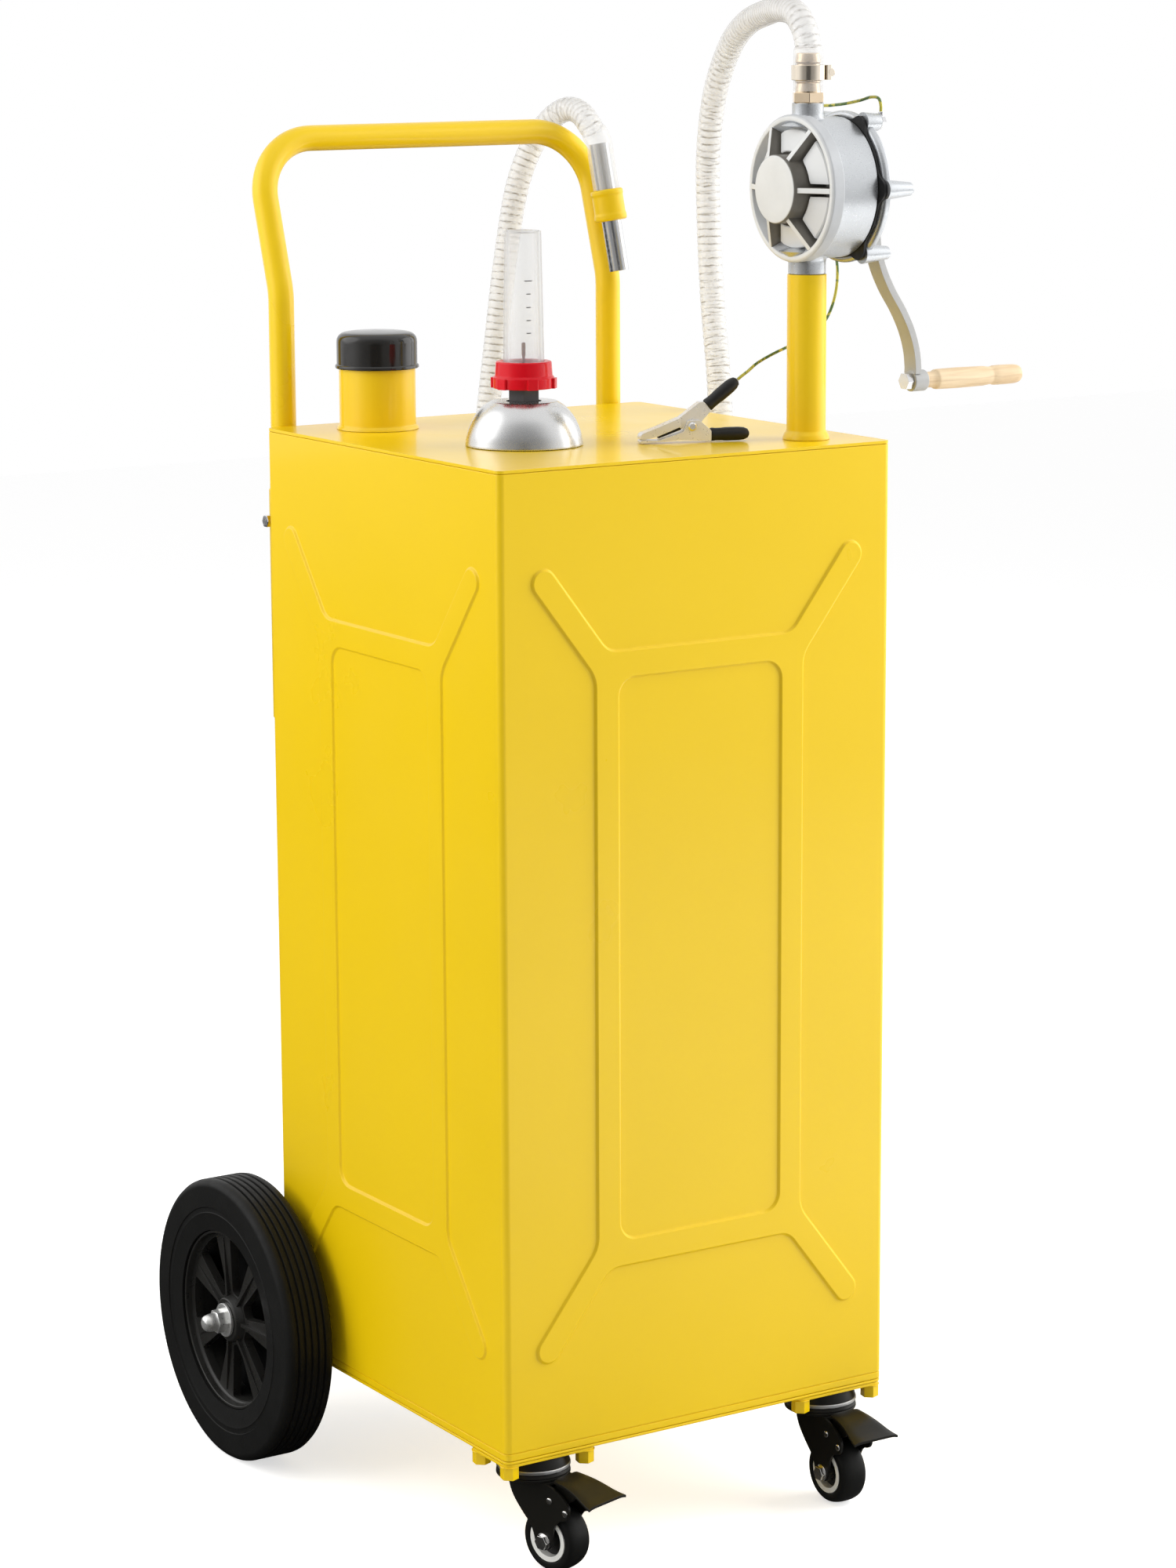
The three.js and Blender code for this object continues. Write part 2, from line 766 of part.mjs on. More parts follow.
function raisedBand() {
  const window = roundRectangle(frameHalfWide, frameHalfTall, frameCorner, cornerSteps);
  const solid = new THREE.ExtrudeGeometry(shapeOf(bandOutline(), [window]), {
    depth: wrapSheet / 2,
    bevelEnabled: true,
    bevelThickness: bandProud,
    bevelSize: bandSlope,
    bevelOffset: -bandSlope,
    bevelSegments: 1,
  });
  const turned = new THREE.Matrix4().makeBasis(sideways, upwards, backwards.clone().negate());
  return solid.applyMatrix4(turned).translate(0, -tankHalf + wrapSheet / 2, tankTall / 2);
}

function tankWrap() {
  const from = basePlate + gap;
  const to = lidUnder - gap;
  const outside = plateZ(roundRectangle(tankHalf, tankHalf, tankCorner, cornerSteps), from, to);
  const innerHalf = tankHalf - wrapSheet;
  const innerCorner = tankCorner - wrapSheet;
  const inside = plateZ(
    roundRectangle(innerHalf, innerHalf, innerCorner, cornerSteps),
    from - overrun,
    to + overrun,
  );
  const bands = [0, 1, 2, 3].map((side) => raisedBand().rotateZ((turn * side) / 4));
  const socketRoom = [-1, 1].map((side) => rod(
    socketRadius + gap,
    socketFrom - gap,
    socketTo + gap,
    midSides,
  ).translate(side * legX, legY, 0));
  return cut(join(outside, ...bands), inside, ...socketRoom);
}

function lidOutline(inset) {
  return roundRectangle(tankHalf - inset, tankHalf - inset, tankCorner - inset, cornerSteps);
}

function skirt(from, to) {
  const outer = tankHalf - wrapSheet - gap;
  const outerCorner = tankCorner - wrapSheet - gap;
  const inner = outer - skirtSheet;
  const innerCorner = outerCorner - skirtSheet;
  const hole = roundRectangle(inner, inner, innerCorner, cornerSteps);
  return plateZ(roundRectangle(outer, outer, outerCorner, cornerSteps), from, to, [hole]);
}

function tankTop() {
  const plate = loft([
    ringAt(lidOutline(0), lidUnder),
    ringAt(lidOutline(0), lidTop - lidEdge),
    ringAt(lidOutline(lidEdge * (1 - Math.SQRT1_2)), lidTop - lidEdge * (1 - Math.SQRT1_2)),
    ringAt(lidOutline(lidEdge), lidTop),
  ]);
  const flange = skirt(lidUnder - skirtTall, lidUnder + lidPlate / 2);
  const holes = [
    rod(fillerRadius + gap, lidUnder - overrun, lidTop + overrun, midSides).translate(fillerX, fillerY, 0),
    rod(bossCollar + gap, lidUnder - overrun, lidTop + overrun, midSides).translate(gaugeX, gaugeY, 0),
    rod(suctionRadius + gap, lidUnder - overrun, lidTop + overrun, midSides).translate(riserX, riserY, 0),
  ];
  return cut(join(plate, flange), ...holes);
}

function tankBottom() {
  const plate = plateZ(roundRectangle(tankHalf, tankHalf, tankCorner, cornerSteps), 0, basePlate);
  return join(plate, skirt(basePlate / 2, basePlate + skirtTall));
}

// Filler neck with its weld bead, and the cap that covers its mouth
function fillerNeck() {
  const weldFrom = lidTop + gap;
  return revolveRing([
    [fillerRadius - fillerWall, lidTop - fillerDip],
    [fillerRadius, lidTop - fillerDip],
    [fillerRadius, weldFrom],
    [fillerWeldRadius, weldFrom],
    [fillerRadius, weldFrom + fillerWeldTall],
    [fillerRadius, lidTop + fillerTall],
    [fillerRadius - fillerWall, lidTop + fillerTall],
  ], midSides);
}

function fillerCap() {
  const outer = fillerRadius + gap + capWall;
  const ceiling = lidTop + fillerTall + gap;
  const top = ceiling + capCrown;
  const shoulder = top - capDome;
  const foot = shoulder - capSkirt;
  const crown = capShoulderShares.map(([across, up]) => [outer * across, shoulder + capDome * up]);
  return revolve([
    [0, ceiling],
    [outer - capWall, ceiling],
    [outer - capWall, foot],
    [outer + capRim, foot],
    [outer + capRim, foot + capRimTall],
    [outer, foot + capRimTall + capRim],
    ...crown,
  ], midSides);
}

// Level gauge: boss in the lid, dome, stem, union nut, clear tube, and the float on its rod
const floatTop = lidTop - floatUnder;
const domeTop = lidTop + gap + domeTall;
const stemShoulder = domeTop - domeSheet - gap;
const stemHeadFrom = domeTop + stemTall;
const stemHeadTo = stemHeadFrom + stemHeadTall;
const nutFrom = stemHeadFrom - nutDrop;

function gaugeBoss() {
  const flangeTop = lidTop + gap + bossTall;
  return revolveRing([
    [stemLower + gap, lidTop - bossDip],
    [bossCollar, lidTop - bossDip],
    [bossCollar, lidTop + gap],
    [bossRadius, lidTop + gap],
    [bossRadius, flangeTop],
    [stemLower + gap, flangeTop],
  ], midSides);
}

function gaugeDome() {
  const outside = domeRadiusShares.map((share, i) => [
    domeRadius * share,
    lidTop + gap + domeTall * domeHeightShares[i],
  ]);
  const inside = outside.filter((_, i) => i % 2 === 0).map(([radius, height]) => [
    radius - domeSheet * Math.SQRT2,
    Math.min(height, domeTop - domeSheet),
  ]).reverse();
  const mouth = [[stemUpper + gap, domeTop], [stemUpper + gap, domeTop - domeSheet]];
  return revolveRing([...outside, ...mouth, ...inside], fineSides);
}

function gaugeStem() {
  const bore = rodRadius + gap;
  return revolveRing([
    [bore, lidTop - stemDip],
    [stemLower, lidTop - stemDip],
    [stemLower, stemShoulder],
    [stemUpper, stemShoulder],
    [stemUpper, stemHeadFrom],
    [stemHeadRadius, stemHeadFrom],
    [stemHeadRadius, stemHeadTo],
    [bore, stemHeadTo],
  ], midSides);
}

function gaugeNut() {
  const inner = stemHeadRadius + gap;
  const lipBore = tubeFootRadius + gap;
  const nutTo = nutFrom + nutTall;
  const shell = revolveRing([
    [inner, nutFrom],
    [nutRimRadius, nutFrom],
    [nutRimRadius, nutFrom + nutRimTall],
    [nutRingRadius, nutFrom + nutRimTall + nutShoulder],
    [nutRingRadius - nutEdgeTall, nutTo - nutEdgeTall],
    [nutRingRadius - nutEdgeWide, nutTo],
    [lipBore, nutTo],
    [lipBore, nutTo - nutLip],
    [inner, nutTo - nutLip],
  ], midSides);
  const lugs = Array.from({ length: nutLugs }, (_, i) => block(
    nutRimRadius - overrun,
    nutLugRadius,
    -nutLugWide / 2,
    nutLugWide / 2,
    nutFrom,
    nutFrom + nutRimTall - gap,
  ).rotateZ((turn * (i + 1 / 4)) / nutLugs));
  return join(shell, ...lugs);
}

function gaugeTube() {
  const foot = stemHeadTo + gap;
  const footTo = nutFrom + nutTall - nutLip - gap;
  const top = foot + tubeTall;
  return revolve([
    [0, top],
    [tubeTopRadius - tubeEdge, top],
    [tubeTopRadius, top - tubeEdge],
    [tubeFootRadius, footTo],
    [stemHeadRadius, footTo],
    [stemHeadRadius, foot],
    [tubeFootRadius - tubeWall, foot],
    [tubeTopRadius - tubeWall, top - tubeWall],
    [0, top - tubeWall],
  ], midSides);
}

function gaugeRod() {
  const stop = stemHeadTo + gap;
  return revolve([
    [0, floatTop - floatTall / 2],
    [rodRadius, floatTop - floatTall / 2],
    [rodRadius, stop],
    [rodStopRadius, stop],
    [rodStopRadius, stop + rodStopTall],
    [rodRadius, stop + rodStopTall],
    [rodRadius, lidTop + rodTop],
    [0, lidTop + rodTop],
  ], tinySides);
}

function gaugeFloat() {
  const from = floatTop - floatTall;
  const bore = rodRadius + gap;
  const boreEnd = floatTop - floatTall / 2 - gap;
  return revolve([
    [0, from],
    [floatRadius / 2, from],
    [floatRadius, from + floatDome],
    [floatRadius, floatTop - floatDome],
    [floatRadius / 2, floatTop],
    [bore, floatTop],
    [bore, boreEnd],
    [0, boreEnd],
  ], smallSides);
}

// Riser on the lid with the suction tube inside it

function riserPipe() {
  const from = lidTop + gap;
  return revolveRing([
    [riserRadius - riserWall, from],
    [riserWeldRadius, from],
    [riserWeldRadius, from + riserWeldTall / 2],
    [riserRadius, from + riserWeldTall],
    [riserRadius, riserTop],
    [riserRadius - riserWall, riserTop],
  ], midSides);
}

function suctionTube() {
  const bore = suctionRadius - suctionWall;
  return revolveRing([
    [bore, footFrom],
    [footRadius, footFrom],
    [footRadius, footFrom + footTall],
    [suctionRadius, footFrom + footTall],
    [suctionRadius, neckFrom + suctionIntoPump],
    [bore, neckFrom + suctionIntoPump],
  ], smallSides);
}

// Rotary pump, its shaft along X and its origin where the riser's axis meets it
const bodyFrontX = -bodyAhead;
const bodyBackX = bodyFrontX + bodyDeep;
const coverBackX = bodyFrontX + spigotDeep;
const coverPitX = coverBackX - coverPitPlate;
const coverRimX = bodyFrontX - coverRimDeep;
const coverFloorX = coverRimX + coverFloorDeep;
const coverHubX = coverRimX - coverHubProud;
const gasketFrom = bodyBackX + gap;
const rearFrom = gasketFrom + gasketThick + gap;
const rearTo = rearFrom + rearThick;
const glandFrom = rearTo + glandSeatLong + gap;
const hubFromX = glandFrom + glandLong + hubClear;
const hubToX = hubFromX + hubLong;
const shaftEndX = hubToX + shaftProud;
const crankEyeFromX = hubFromX + crankReach;
const crankEyeToX = crankEyeFromX + crankEyeLong;
const gripFromX = crankEyeToX + gap;

function pumpFrontCover() {
  const disc = revolveX([
    [0, coverBackX],
    [spigotRadius, coverBackX],
    [spigotRadius, bodyFrontX - gap],
    [coverRimRadius, bodyFrontX - gap],
    [coverRimRadius, coverRimX + coverHubEdge],
    [coverRimRadius - coverHubEdge, coverRimX],
    [coverRimRadius - coverRimWide, coverRimX],
    [coverRimRadius - coverRimWide * 2, coverFloorX],
    [coverHubRadius, coverFloorX],
    [coverHubRadius, coverHubX + coverHubEdge],
    [coverHubRadius - coverHubEdge, coverHubX],
    [0, coverHubX],
  ], fineSides);
  const corners = Array.from({ length: coverRibs }, (_, i) => [
    coverPitRadius * Math.cos((turn * i) / coverRibs),
    coverPitRadius * Math.sin((turn * i) / coverRibs),
  ]);
  const pit = cut(
    plateX(corners, coverFloorX - overrun, coverPitX),
    rodX(coverHubRadius, coverFloorX - overrun * 2, coverPitX + overrun, fineSides),
  );
  const crestHub = coverHubX + coverRibDrop;
  const ribSide = [
    [coverHubRadius - overrun, crestHub],
    [coverRimRadius - coverRimWide, coverRimX],
    [coverRimRadius - coverRimWide, coverFloorX],
    [coverRimRadius - coverRimWide * 2, coverPitX + coverRibRoot],
    [coverHubRadius - overrun, coverPitX + coverRibRoot],
  ].map(([radius, x]) => [x, radius]);
  const ribs = Array.from({ length: coverRibs }, (_, i) => (
    plateY(ribSide, -coverRibWide / 2, coverRibWide / 2).rotateX(turn / 4 + (turn * i) / coverRibs)
  ));
  return join(cut(disc, pit), ...ribs);
}

function pumpBody() {
  const drum = revolveRingX([
    [chamberRadius - chamberLift * 2, coverBackX + gap],
    [spigotRadius + gap, coverBackX + gap],
    [spigotRadius + gap, bodyFrontX],
    [bodyRadius, bodyFrontX],
    [bodyRadius, bodyBackX],
    [chamberRadius - chamberLift * 2, bodyBackX],
  ], fineSides);
  const inletFrom = neckFrom - pumpZ;
  const inlet = rod(neckRadius, inletFrom, inletFrom + neckTall * 2, midSides);
  const outlet = rod(outletRadius, outletTall - neckTall * 2, outletTall, midSides);
  const body = join(drum, inlet, outlet);
  const boreTop = inletFrom + suctionIntoPump + gap;
  return cut(
    body,
    rodX(chamberRadius, coverBackX + gap, bodyBackX + overrun, fineSides).translate(0, 0, chamberLift),
    rodX(spigotRadius + gap, bodyFrontX - overrun, coverBackX + gap, fineSides),
    rodX(coverRimRadius + gap, coverHubX, bodyFrontX, fineSides),
    rod(suctionRadius + gap, inletFrom - overrun, boreTop, smallSides),
    rod(portRadius, inletFrom, -chamberRadius / 2, smallSides).translate(portShift, 0, 0),
    rod(portRadius, chamberRadius / 2, outletTall + overrun, smallSides).translate(portShift, 0, 0),
    rod(barbRadius + gap, outletTall - barbStem - gap, outletTall + overrun, smallSides),
  );
}

function lobeRing(make) {
  return Array.from({ length: lobes }, (_, i) => (
    make(i).translate(0, -lobeRadius, 0).rotateX((-turn * i) / lobes)
  ));
}

function pumpGasket() {
  const outline = [];
  for (let i = 0; i < lobes; i += 1) {
    const middle = (turn * i) / lobes;
    const ear = Math.asin(lobeBase / gasketRadius);
    outline.push(...[-1, 1].map((side) => [middle + side * (ear * 2), gasketRadius]));
    outline.splice(-1, 0, ...[-1, 0, 1].map((side) => [
      middle + (side * ear) / 2,
      lobeRadius + lobeBase * (side === 0 ? 1 : 3 / 4),
    ]));
    outline.push([middle + turn / lobes / 2, gasketRadius]);
  }
  const hole = circle(chamberRadius + chamberLift + gap, fineSides);
  const edge = outline.map(([angle, radius]) => [radius * Math.cos(angle), radius * Math.sin(angle)]);
  return plateX(edge, gasketFrom, gasketFrom + gasketThick, [hole]);
}

function pumpRearCover() {
  const bore = shaftRadius + gap;
  const disc = revolveRingX([
    [bore, rearFrom],
    [rearRadius - rearEdge, rearFrom],
    [rearRadius, rearFrom + rearEdge],
    [rearRadius, rearTo],
    [glandSeatRadius + glandSeatFlare, rearTo],
    [glandSeatRadius, rearTo + glandSeatLong],
    [bore, rearTo + glandSeatLong],
  ], fineSides);
  const lobe = (tip, long) => revolveX([
    [0, rearFrom],
    [lobeBase, rearFrom],
    [tip, rearFrom + long],
    [0, rearFrom + long],
  ], tinySides);
  const earthTip = (lobeBase + lobeTip) / 2;
  return join(disc, ...lobeRing((i) => (
    i === earthLobeIndex ? lobe(earthTip, earthLobeLong) : lobe(lobeTip, lobeLong)
  )));
}

function shaftGland() {
  return revolveRingX([
    [shaftRadius + gap, glandFrom],
    [glandRadius, glandFrom],
    [glandRadius - glandEdge, glandFrom + glandLong],
    [shaftRadius + gap, glandFrom + glandLong],
  ], midSides);
}

function pumpRotor() {
  const from = coverBackX + gap * 2;
  const to = rearFrom - gap;
  const core = revolveX([
    [0, from],
    [rotorRadius, from],
    [rotorRadius, to],
    [shaftRadius, to],
    [shaftRadius, shaftEndX],
    [0, shaftEndX],
  ], midSides);
  const blades = Array.from({ length: vanes }, (_, i) => block(
    from,
    bodyBackX,
    0,
    rotorRadius + vaneProud,
    -vaneWide / 2,
    vaneWide / 2,
  ).rotateX((turn * (i + 1 / 2)) / vanes));
  return join(core, ...blades);
}

// Crank: a bent flat bar with a hub on the shaft and an eye for the grip's pin
function barEdges() {
  const rootX = hubFromX + barRootIn;
  const endX = crankEyeFromX + barEndIn;
  const line = new THREE.CatmullRomCurve3(barReachShares.map((share, i) => (
    new THREE.Vector3(rootX + (endX - rootX) * share, 0, -crankRadius * barDropShares[i])
  )));
  const sides = [[], []];
  for (let i = 0; i <= barSteps; i += 1) {
    const at = line.getPointAt(i / barSteps);
    const along = line.getTangentAt(i / barSteps);
    [1, -1].forEach((side, which) => {
      sides[which].push([at.x + (side * along.z * barThick) / 2, at.z - (side * along.x * barThick) / 2]);
    });
  }
  return [...sides[0], ...sides[1].reverse()];
}

function crankArm() {
  const bar = plateY(barEdges(), -barWide / 2, barWide / 2);
  const hub = rodX(hubRadius, hubFromX, hubToX, midSides);
  const eye = rodX(crankEyeRadius, crankEyeFromX, crankEyeToX, midSides).translate(0, 0, -crankRadius);
  const shaftHole = rodX(shaftRadius + gap, hubFromX - overrun, hubToX + overrun, midSides);
  const pinHole = rodX(pinRadius + gap, crankEyeFromX - overrun * 2, crankEyeToX + overrun, smallSides);
  return cut(join(bar, hub, eye), shaftHole, pinHole.translate(0, 0, -crankRadius));
}

function gripPin() {
  const gripTo = gripFromX + gripLong;
  const headTo = gripTo - pinHeadSunk;
  const nutTo = crankEyeFromX - gap;
  const shank = rodX(pinRadius, nutTo - gripNutLong, headTo, tinySides);
  const head = rodX(pinHeadRadius, headTo - pinHeadLong, headTo, tinySides);
  const nut = plateX(hexagon(gripNutAcross), nutTo - gripNutLong, nutTo);
  return join(shank, head, nut);
}

function crankGrip() {
  const gripTo = gripFromX + gripLong;
  const outside = gripRadiusShares.map((share, i) => [
    gripRadius * share,
    gripFromX + gripLong * gripLengthShares[i],
  ]);
  const seat = gripTo - pinHeadSunk - pinHeadLong - gap;
  return revolveRingX([
    [pinRadius + gap, gripFromX],
    ...outside,
    [pinHeadRadius + gap + gripMouth, gripTo],
    [pinHeadRadius + gap, gripTo],
    [pinHeadRadius + gap, seat],
    [pinRadius + gap, seat],
  ], smallSides);
}

// Brass hose tail, worm clamp, hose and spout
const hexFrom = pumpZ + outletTall + gap;
const hexTo = hexFrom + barbHexTall;

function outletBarb() {
  const hex = plateZ(hexagon(barbHexAcross), hexFrom, hexTo);
  const teeth = [];
  for (let i = 0; i < barbSteps; i += 1) {
    const from = hexTo + (barbTall * i) / barbSteps;
    teeth.push([barbRadius, from], [barbRadius - barbStep, from + barbTall / barbSteps]);
  }
  const tail = revolve([
    [0, hexFrom - barbStem],
    [barbRadius, hexFrom - barbStem],
    [barbRadius, hexTo],
    ...teeth,
    [0, hexTo + barbTall],
  ], smallSides);
  const bore = rod(barbBore, hexFrom - barbStem - overrun, hexTo + barbTall + overrun, tinySides);
  return cut(join(hex, tail), bore);
}

function hoseClamp() {
  const from = hexTo + clampUp;
  const band = pipe(clampRadius + clampBand, clampRadius, from, from + clampTall, midSides);
  const middle = from + clampTall / 2;
  const reach = clampRadius + clampBand;
  const housing = block(
    reach - clampBand / 2,
    reach + clampScrewReach,
    -clampScrewLong / 2,
    clampScrewLong / 4,
    from,
    from + clampTall,
  );
  const screw = rod(clampScrewRadius, -clampScrewLong / 2, clampScrewLong / 2, tinySides)
    .rotateX(Math.PI / 2);
  return join(band, housing, screw.translate(reach + clampScrewRadius + clampScrewLift, 0, middle));
}

const spoutTop = new THREE.Vector3(spoutX, tankHalf + spoutBehind, lidTop + spoutUp);
const spoutMouth = spoutTop.clone().add(new THREE.Vector3(spoutOutward, -spoutForward, -spoutDrop));
const spoutAlong = spoutMouth.clone().sub(spoutTop).normalize();
const spoutLong = spoutMouth.distanceTo(spoutTop);

function hoseLine() {
  const start = new THREE.Vector3(riserX, riserY, hexTo + hoseLift);
  const end = spoutTop.clone().addScaledVector(spoutAlong, sleeveFrom - gap);
  const shares = Array.from({ length: runSteps + 1 }, (_, i) => i / runSteps);
  const startRun = shares.map((share) => start.clone().addScaledVector(upwards, hoseCuffLong * share));
  const endRun = shares.map((share) => end.clone().addScaledVector(spoutAlong, -hoseTailRun * share));
  const middle = hoseRoute.map(([x, y, z]) => new THREE.Vector3(x, y, z));
  const points = [...startRun, ...middle, ...endRun.reverse()];
  const line = new THREE.CatmullRomCurve3(points, false, 'centripetal');
  line.arcLengthDivisions = hoseRibs * ribSteps;
  return line;
}

// The hose: a crest and a valley ring for each rib outside, and a ring for each rib in the bore,
// with one more where the bore narrows past the spout's end
function hose() {
  const line = hoseLine();
  const length = line.getLength();
  const frames = line.computeFrenetFrames(hoseRibs * 2, false);
  const rings = [];
  const tailRing = hoseRibs * 2 - 3;
  const ringAround = (station, radius) => {
    const centre = line.getPointAt(station / (hoseRibs * 2));
    return Array.from({ length: hoseSides }, (_, i) => {
      const angle = (turn * i) / hoseSides;
      return centre.clone()
        .addScaledVector(frames.normals[station], radius * Math.cos(angle))
        .addScaledVector(frames.binormals[station], radius * Math.sin(angle));
    });
  };
  const sizeAt = (station) => {
    const along = (length * station) / (hoseRibs * 2);
    if (along < hoseCuffLong) {
      return { crest: hoseCuffCrest, valley: hoseCuffCrest, bore: hoseCuffBore };
    }
    if (length - along < hoseTailLong) {
      return { crest: hoseTailCrest, valley: hoseTailCrest, bore: hoseTailBore };
    }
    return { crest: hoseCrest, valley: hoseValley, bore: hoseBore };
  };
  for (let station = 0; station <= hoseRibs * 2; station += 1) {
    const size = sizeAt(station);
    rings.push(ringAround(station, station % 2 === 0 ? size.valley : size.crest));
  }
  for (let station = hoseRibs * 2; station >= 0; station -= 1) {
    if (station % 2 === 0 || station === tailRing) {
      rings.push(ringAround(station, sizeAt(station).bore));
    }
  }
  const index = [];
  rings.forEach((ring, row) => {
    const next = (row + 1) % rings.length;
    for (let i = 0; i < hoseSides; i += 1) {
      const j = (i + 1) % hoseSides;
      const [p, q] = [row * hoseSides + i, row * hoseSides + j];
      const [r, s] = [next * hoseSides + j, next * hoseSides + i];
      index.push(p, q, r, p, r, s);
    }
  });
  console.log(`hose length ${Math.round(length)} mm, rib pitch ${(length / hoseRibs).toFixed(1)} mm`);
  return meshOf(rings.flat(), index);
}

function spout() {
  return turnTo(pipe(spoutRadius, spoutRadius - spoutWall, 0, spoutLong, smallSides), spoutAlong, spoutTop);
}

function spoutSleeve() {
  const bore = spoutRadius + gap;
  const to = sleeveFrom + sleeveLong;
  const solid = revolveRing([
    [bore, sleeveFrom],
    [sleeveRadius - sleeveEdge, sleeveFrom],
    [sleeveRadius, sleeveFrom + sleeveEdge],
    [sleeveRadius, to - sleeveEdge],
    [sleeveRadius - sleeveEdge, to],
    [bore, to],
  ], midSides);
  return turnTo(solid, spoutAlong, spoutTop);
}

// Earthing wire from the lug on the pump to the clip's upper grip
const earthAngle = (turn * earthLobeIndex) / lobes;
const earthY = -lobeRadius * Math.cos(earthAngle);
const earthZ = lobeRadius * Math.sin(earthAngle);
const lugX = rearFrom + earthLobeLong + gap;

function earthLug() {
  const eye = rodX(lugRadius, lugX, lugX + lugThick, smallSides);
  const barrel = rod(lugBarrel, lugRadius / 2, lugReach, tinySides).translate(lugX + lugBarrel, 0, 0);
  const tongue = block(lugX, lugX + lugThick, -lugBarrel, lugBarrel, 0, lugReach - overrun);
  const head = plateX(hexagon(lugHeadAcross), lugX, lugX + lugThick + lugHeadLong);
  return join(eye, tongue, barrel, head).translate(0, earthY, earthZ);
}

function clipOutline(shares) {
  return shares.map(([along, up]) => [clipPivotAlong * along, clipPivotUp * up]);
}

const lowerGripAlong = clipOutline(lowerJawShares)[lowerJawEndIndex][0] + gap;
const lowerGripUp = clipGripRadius + clipLie;
const [heelLow, heelHigh] = clipOutline(upperHeelShares).slice(upperHeelEndIndex, upperHeelEndIndex + 2);
const upperGripLean = Math.atan2(heelLow[0] - heelHigh[0], heelHigh[1] - heelLow[1]);
const upperGripAlong = (heelLow[0] + heelHigh[0]) / 2 + gap * Math.cos(upperGripLean);
const upperGripUp = (heelLow[1] + heelHigh[1]) / 2 + gap * Math.sin(upperGripLean);
const wireEnd = clipGripLong + wireClear;

function clipToWorld(along, across, up) {
  const point = new THREE.Vector3(along, across, up).applyAxisAngle(upwards, clipTurn);
  return point.add(new THREE.Vector3(clipX, clipY, lidTop));
}

function groundWire() {
  const start = new THREE.Vector3(riserX, riserY, pumpZ)
    .add(new THREE.Vector3(lugX + lugBarrel, earthY, earthZ + lugReach + gap));
  const lean = [Math.cos(upperGripLean), Math.sin(upperGripLean)];
  const tail = [wireEnd + wireLead, wireEnd].map((reach) => (
    clipToWorld(upperGripAlong + reach * lean[0], 0, upperGripUp + reach * lean[1])
  ));
  const points = [start, ...wireRoute.map(([x, y, z]) => new THREE.Vector3(x, y, z)), ...tail];
  const line = new THREE.CatmullRomCurve3(points, false, 'centripetal');
  const stations = line.getSpacedPoints(wireSteps);
  console.log(`wire length ${Math.round(line.getLength())} mm`);
  return tubeThrough(stations, wireRadius, 0, wireSides, 0);
}

// Earthing clip in its own frame: X along the clip, Y across it, Z up
function gripSolid() {
  const bore = clipShank + gap;
  return revolve([
    [bore, 0],
    [clipGripRadius, 0],
    [clipGripRadius, clipGripLong - clipGripRadius / 2],
    [clipGripNose, clipGripLong],
    [0, clipGripLong],
    [0, clipShankLong + gap],
    [bore, clipShankLong + gap],
    [bore, 0],
  ], smallSides);
}

function lowerShank() {
  return rod(clipShank, -overrun, clipShankLong, tinySides)
    .rotateY(Math.PI / 2)
    .translate(lowerGripAlong, 0, lowerGripUp);
}

function upperShank() {
  return rod(clipShank, -overrun * 2, clipShankLong, tinySides)
    .rotateY(Math.PI / 2 - upperGripLean)
    .translate(upperGripAlong, 0, upperGripUp);
}

function clipPivotRod(radius, half) {
  return rod(radius, -half, half, tinySides).rotateX(Math.PI / 2).translate(clipPivotAlong, 0, clipPivotUp);
}

function clipLower() {
  const shell = cut(
    plateY(clipOutline(lowerJawShares), -clipHalf, clipHalf),
    plateY(clipOutline(lowerCavityShares), -clipInner - gap, clipInner + gap),
    clipPivotRod(clipRivet + gap, clipHalf + overrun),
  );
  return join(shell, lowerShank());
}

function clipUpper() {
  const jaw = plateY(clipOutline(upperJawShares), -clipHalf, clipHalf);
  const heel = plateY(clipOutline(upperHeelShares), -clipInner, clipInner);
  return cut(join(jaw, heel, upperShank()), clipPivotRod(clipRivet + gap, clipHalf + overrun));
}

function clipRivetPin() {
  const half = clipHalf + gap;
  return join(
    clipPivotRod(clipRivet, half + clipRivetProud / 2),
    clipPivotRod(clipRivetHead, clipRivetProud / 2).translate(0, half + clipRivetProud / 2, 0),
    clipPivotRod(clipRivetHead, clipRivetProud / 2).translate(0, -half - clipRivetProud / 2, 0),
  );
}

// Push handle: one bent tube bolted into two sockets welded to the back
const legX = tankHalf - legInset;
const legY = tankHalf + gap + socketRadius;
const socketTo = lidTop - socketUnder;
const socketFrom = socketTo - socketLong;
const boltZ = socketTo - boltUnder;

function boltHole(side) {
  return rodX(boltRadius + gap, -socketRadius * 2, socketRadius * 2, tinySides)
    .translate(side * legX, legY, boltZ);
}

function handleTube() {
  const foot = socketTo - handleInto;
  const bendZ = lidTop + handleLegUp;
  const barY = tankHalf + handleBarBack;
  const barZ = lidTop + handleBarUp;
  const corners = [
    [-legX, legY, foot],
    [-legX, legY, bendZ],
    [-legX, barY, barZ],
    [legX, barY, barZ],
    [legX, legY, bendZ],
    [legX, legY, foot],
  ].map(([x, y, z]) => new THREE.Vector3(x, y, z));
  const radii = [handleLegBend, handleCorner, handleCorner, handleLegBend];
  const steps = [legBendSteps, handleCornerSteps, handleCornerSteps, legBendSteps];
  const stations = roundedLine(corners, radii, steps);
  const tube = tubeThrough(stations, handleRadius, handleRadius - handleWall, handleSides, handleBoreSides);
  return cut(tube, boltHole(-1), boltHole(1));
}

function handleSocket(side) {
  const bore = handleRadius + gap;
  const pocket = pipe(socketRadius, bore, socketFrom, socketTo, midSides).translate(side * legX, legY, 0);
  return cut(pocket, boltHole(side));
}

